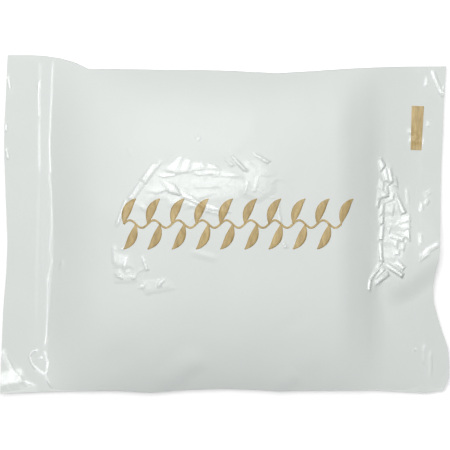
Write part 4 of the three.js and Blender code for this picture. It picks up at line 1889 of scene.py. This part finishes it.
    def _loop(self, name: str) -> Piece:
        """Makes a closed curve along the hem: a rectangle with round corners.

        Args:
            name: The curve's name.

        Returns:
            The new object.
        """
        low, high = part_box("cap_elastic")
        middle = (low + high) / 2.0 / MM
        half = self._hem_half()
        points = []
        for quarter, (sx, sy) in enumerate(((1, 1), (-1, 1), (-1, -1), (1, -1))):
            for step in range(self.corner_steps + 1):
                angle = (quarter + step / self.corner_steps) * math.pi / 2.0
                x = middle.x + sx * (half[0] - self.hem_corner) + self.hem_corner * math.cos(angle)
                y = middle.y + sy * (half[1] - self.hem_corner) + self.hem_corner * math.sin(angle)
                points.append((x * MM, y * MM, middle.z * MM, 1.0))
        data = bpy.data.curves.new(name, "CURVE")
        data.dimensions = "3D"
        spline = data.splines.new("POLY")
        spline.points.add(len(points) - 1)
        for point, place in zip(spline.points, points):
            point.co = place
        spline.use_cyclic_u = True
        return put_in_scene(name, data)

    def _hem(self, film: Material) -> Piece:
        """Makes the hem: a tube round the elastic, gathered into small folds.

        Args:
            film: What it is made of.

        Returns:
            The new object.
        """
        tree = GeometryTree("gathered_hem", film)
        gathers = tree.number("Gathers", self.gathers)
        depth = tree.number("Depth", self.gather_depth * MM)
        wide = tree.number("Half width", self.hem_half_width * MM)
        high = tree.number("Half height", self.hem_half_height * MM)
        even = tree.link("GeometryNodeResampleCurve", {}, {
            "Curve": tree.start.outputs[0], "Count": self.gathers * self.gather_points})
        upright = tree.link("GeometryNodeSetCurveNormal", {"mode": "Z_UP"}, {"Curve": even})
        along = tree.link("GeometryNodeSplineParameter", {}, {}, "Factor")
        marked = tree.link("GeometryNodeStoreNamedAttribute", {"data_type": "FLOAT", "domain": "POINT"}, {
            "Geometry": upright, "Name": "along", "Value": along})
        ring = tree.link("GeometryNodeCurvePrimitiveCircle", {}, {
            "Resolution": self.hem_sides, "Radius": 1.0})
        scale = tree.vector(X=wide, Y=high, Z=1.0)
        oval = tree.link("GeometryNodeTransform", {}, {"Geometry": ring, "Scale": scale})
        tube = tree.link("GeometryNodeCurveToMesh", {}, {"Curve": marked, "Profile Curve": oval})
        place = tree.value("GeometryNodeInputNamedAttribute", {"data_type": "FLOAT"}, {"Name": "along"})
        uneven = tree.value("ShaderNodeTexNoise", {"noise_dimensions": "1D"}, {
            "W": place, "Scale": self.uneven_scale, "Detail": 1.0})
        turns = place * gathers * (2.0 * math.pi) + uneven * self.uneven_gathers
        wave = turns.sine() * depth * (0.5 + uneven)
        normal = tree.link("GeometryNodeInputNormal", {}, {})
        push = tree.link("ShaderNodeVectorMath", {"operation": "SCALE"}, {0: normal, "Scale": wave})
        gathered = tree.link("GeometryNodeSetPosition", {}, {"Geometry": tube, "Offset": push})
        smooth = tree.link("GeometryNodeSetShadeSmooth", {}, {"Geometry": gathered})
        return tree.run(self._loop("cap_hem_ruffle"), smooth)

    def _elastic(self, yarn: Material) -> Piece:
        """Makes the elastic: a round cord along the hem.

        Args:
            yarn: What it is covered with.

        Returns:
            The new object.
        """
        tree = GeometryTree("elastic_loop", yarn)
        radius = tree.number("Radius", self.elastic_radius * MM)
        even = tree.link("GeometryNodeResampleCurve", {}, {
            "Curve": tree.start.outputs[0], "Count": self.elastic_points})
        ring = tree.link("GeometryNodeCurvePrimitiveCircle", {}, {
            "Resolution": self.elastic_sides, "Radius": radius})
        tube = tree.link("GeometryNodeCurveToMesh", {}, {"Curve": even, "Profile Curve": ring})
        smooth = tree.link("GeometryNodeSetShadeSmooth", {}, {"Geometry": tube})
        return tree.run(self._loop("cap_elastic_cord"), smooth)


# Studio


@dataclass(frozen=True)
class Lamp:
    """A square soft lamp that faces the sachet."""

    name: str
    place: Triple
    size: float
    power: float

    def hang(self) -> None:
        """Puts the lamp into the scene."""
        data = bpy.data.lights.new(self.name, "AREA")
        data.size = self.size
        data.energy = self.power
        lamp = put_in_scene(self.name, data)
        lamp.location = self.place
        lamp.rotation_mode = "QUATERNION"
        lamp.rotation_quaternion = (-Vector(self.place)).to_track_quat("-Z", "Y")


@dataclass
class Studio:
    """Camera, floor and soft light for a view straight down, as the photo was taken."""

    view_width: float = 120.55
    view_centre: Pair = (0.0, -0.27)
    lens: float = 200.0
    sensor: float = 36.0
    ambient: float = 0.15
    floor_half: float = 2.5
    floor_drop: float = 0.0002
    lamps: tuple[Lamp, ...] = (
        Lamp("key", (-0.035, 0.165, 0.5), 0.3, 1.48),
        Lamp("side", (-0.26, 0.04, 0.48), 0.12, 0.48),
        Lamp("end", (0.2, 0.01, 0.46), 0.1, 0.24),
    )

    def build(self) -> None:
        """Makes the camera, the floor, the lamps and the surroundings."""
        bpy.context.scene.view_settings.view_transform = "Standard"
        self._camera()
        self._floor()
        for lamp in self.lamps:
            lamp.hang()
        self._surroundings()

    def _camera(self) -> None:
        """Looks straight down, with +Y up in the picture."""
        data = bpy.data.cameras.new("camera")
        data.lens = self.lens
        data.sensor_width = self.sensor
        camera = put_in_scene("camera", data)
        distance = self.lens * self.view_width * MM / self.sensor
        camera.location = (self.view_centre[0] * MM, self.view_centre[1] * MM, distance)
        bpy.context.scene.camera = camera

    def _floor(self) -> None:
        """Lays the floor just under the sachet."""
        signs = ((-1, -1), (1, -1), (1, 1), (-1, 1))
        corners = [(sx * self.floor_half, sy * self.floor_half, -self.floor_drop) for sx, sy in signs]
        mesh = bpy.data.meshes.new("floor")
        mesh.from_pydata(corners, [], [(0, 1, 2, 3)])
        mesh.materials.append(FloorFinish().material())
        put_in_scene("floor", mesh)

    def _surroundings(self) -> None:
        """Even pale surroundings: white to look at, dimmer as a light."""
        world = bpy.data.worlds.new("studio")
        world.use_nodes = True
        bpy.context.scene.world = world
        tree = NodeTree(world.node_tree)
        white = (1.0, 1.0, 1.0, 1.0)
        light = tree.link("ShaderNodeBackground", {}, {"Color": white, "Strength": self.ambient})
        backdrop = tree.link("ShaderNodeBackground", {}, {"Color": white, "Strength": 1.0})
        mix = tree.link("ShaderNodeMixShader", {}, {0: tree.seen(), 1: light, 2: backdrop})
        tree.node("ShaderNodeOutputWorld", {}, {"Surface": mix})


def main() -> None:
    """Builds the studio and every piece."""
    logging.basicConfig(level=logging.INFO, format="%(name)s: %(message)s")
    Studio().build()
    form = SachetForm.from_frame()
    scattered = [fold for crumple in CENTRE_CRUMPLES + RIGHT_CRUMPLES for fold in crumple.folds()]
    form.wrinkles = [*CENTRE_WRINKLES, *RIGHT_WRINKLES, *LEFT_WRINKLES, *BOTTOM_WRINKLES, *scattered,
                     *SoftDents().swells()]
    Sachet(form).build()
    Prints(form).build()
    FoldedCap().build()


if __name__ == "__main__":
    main()
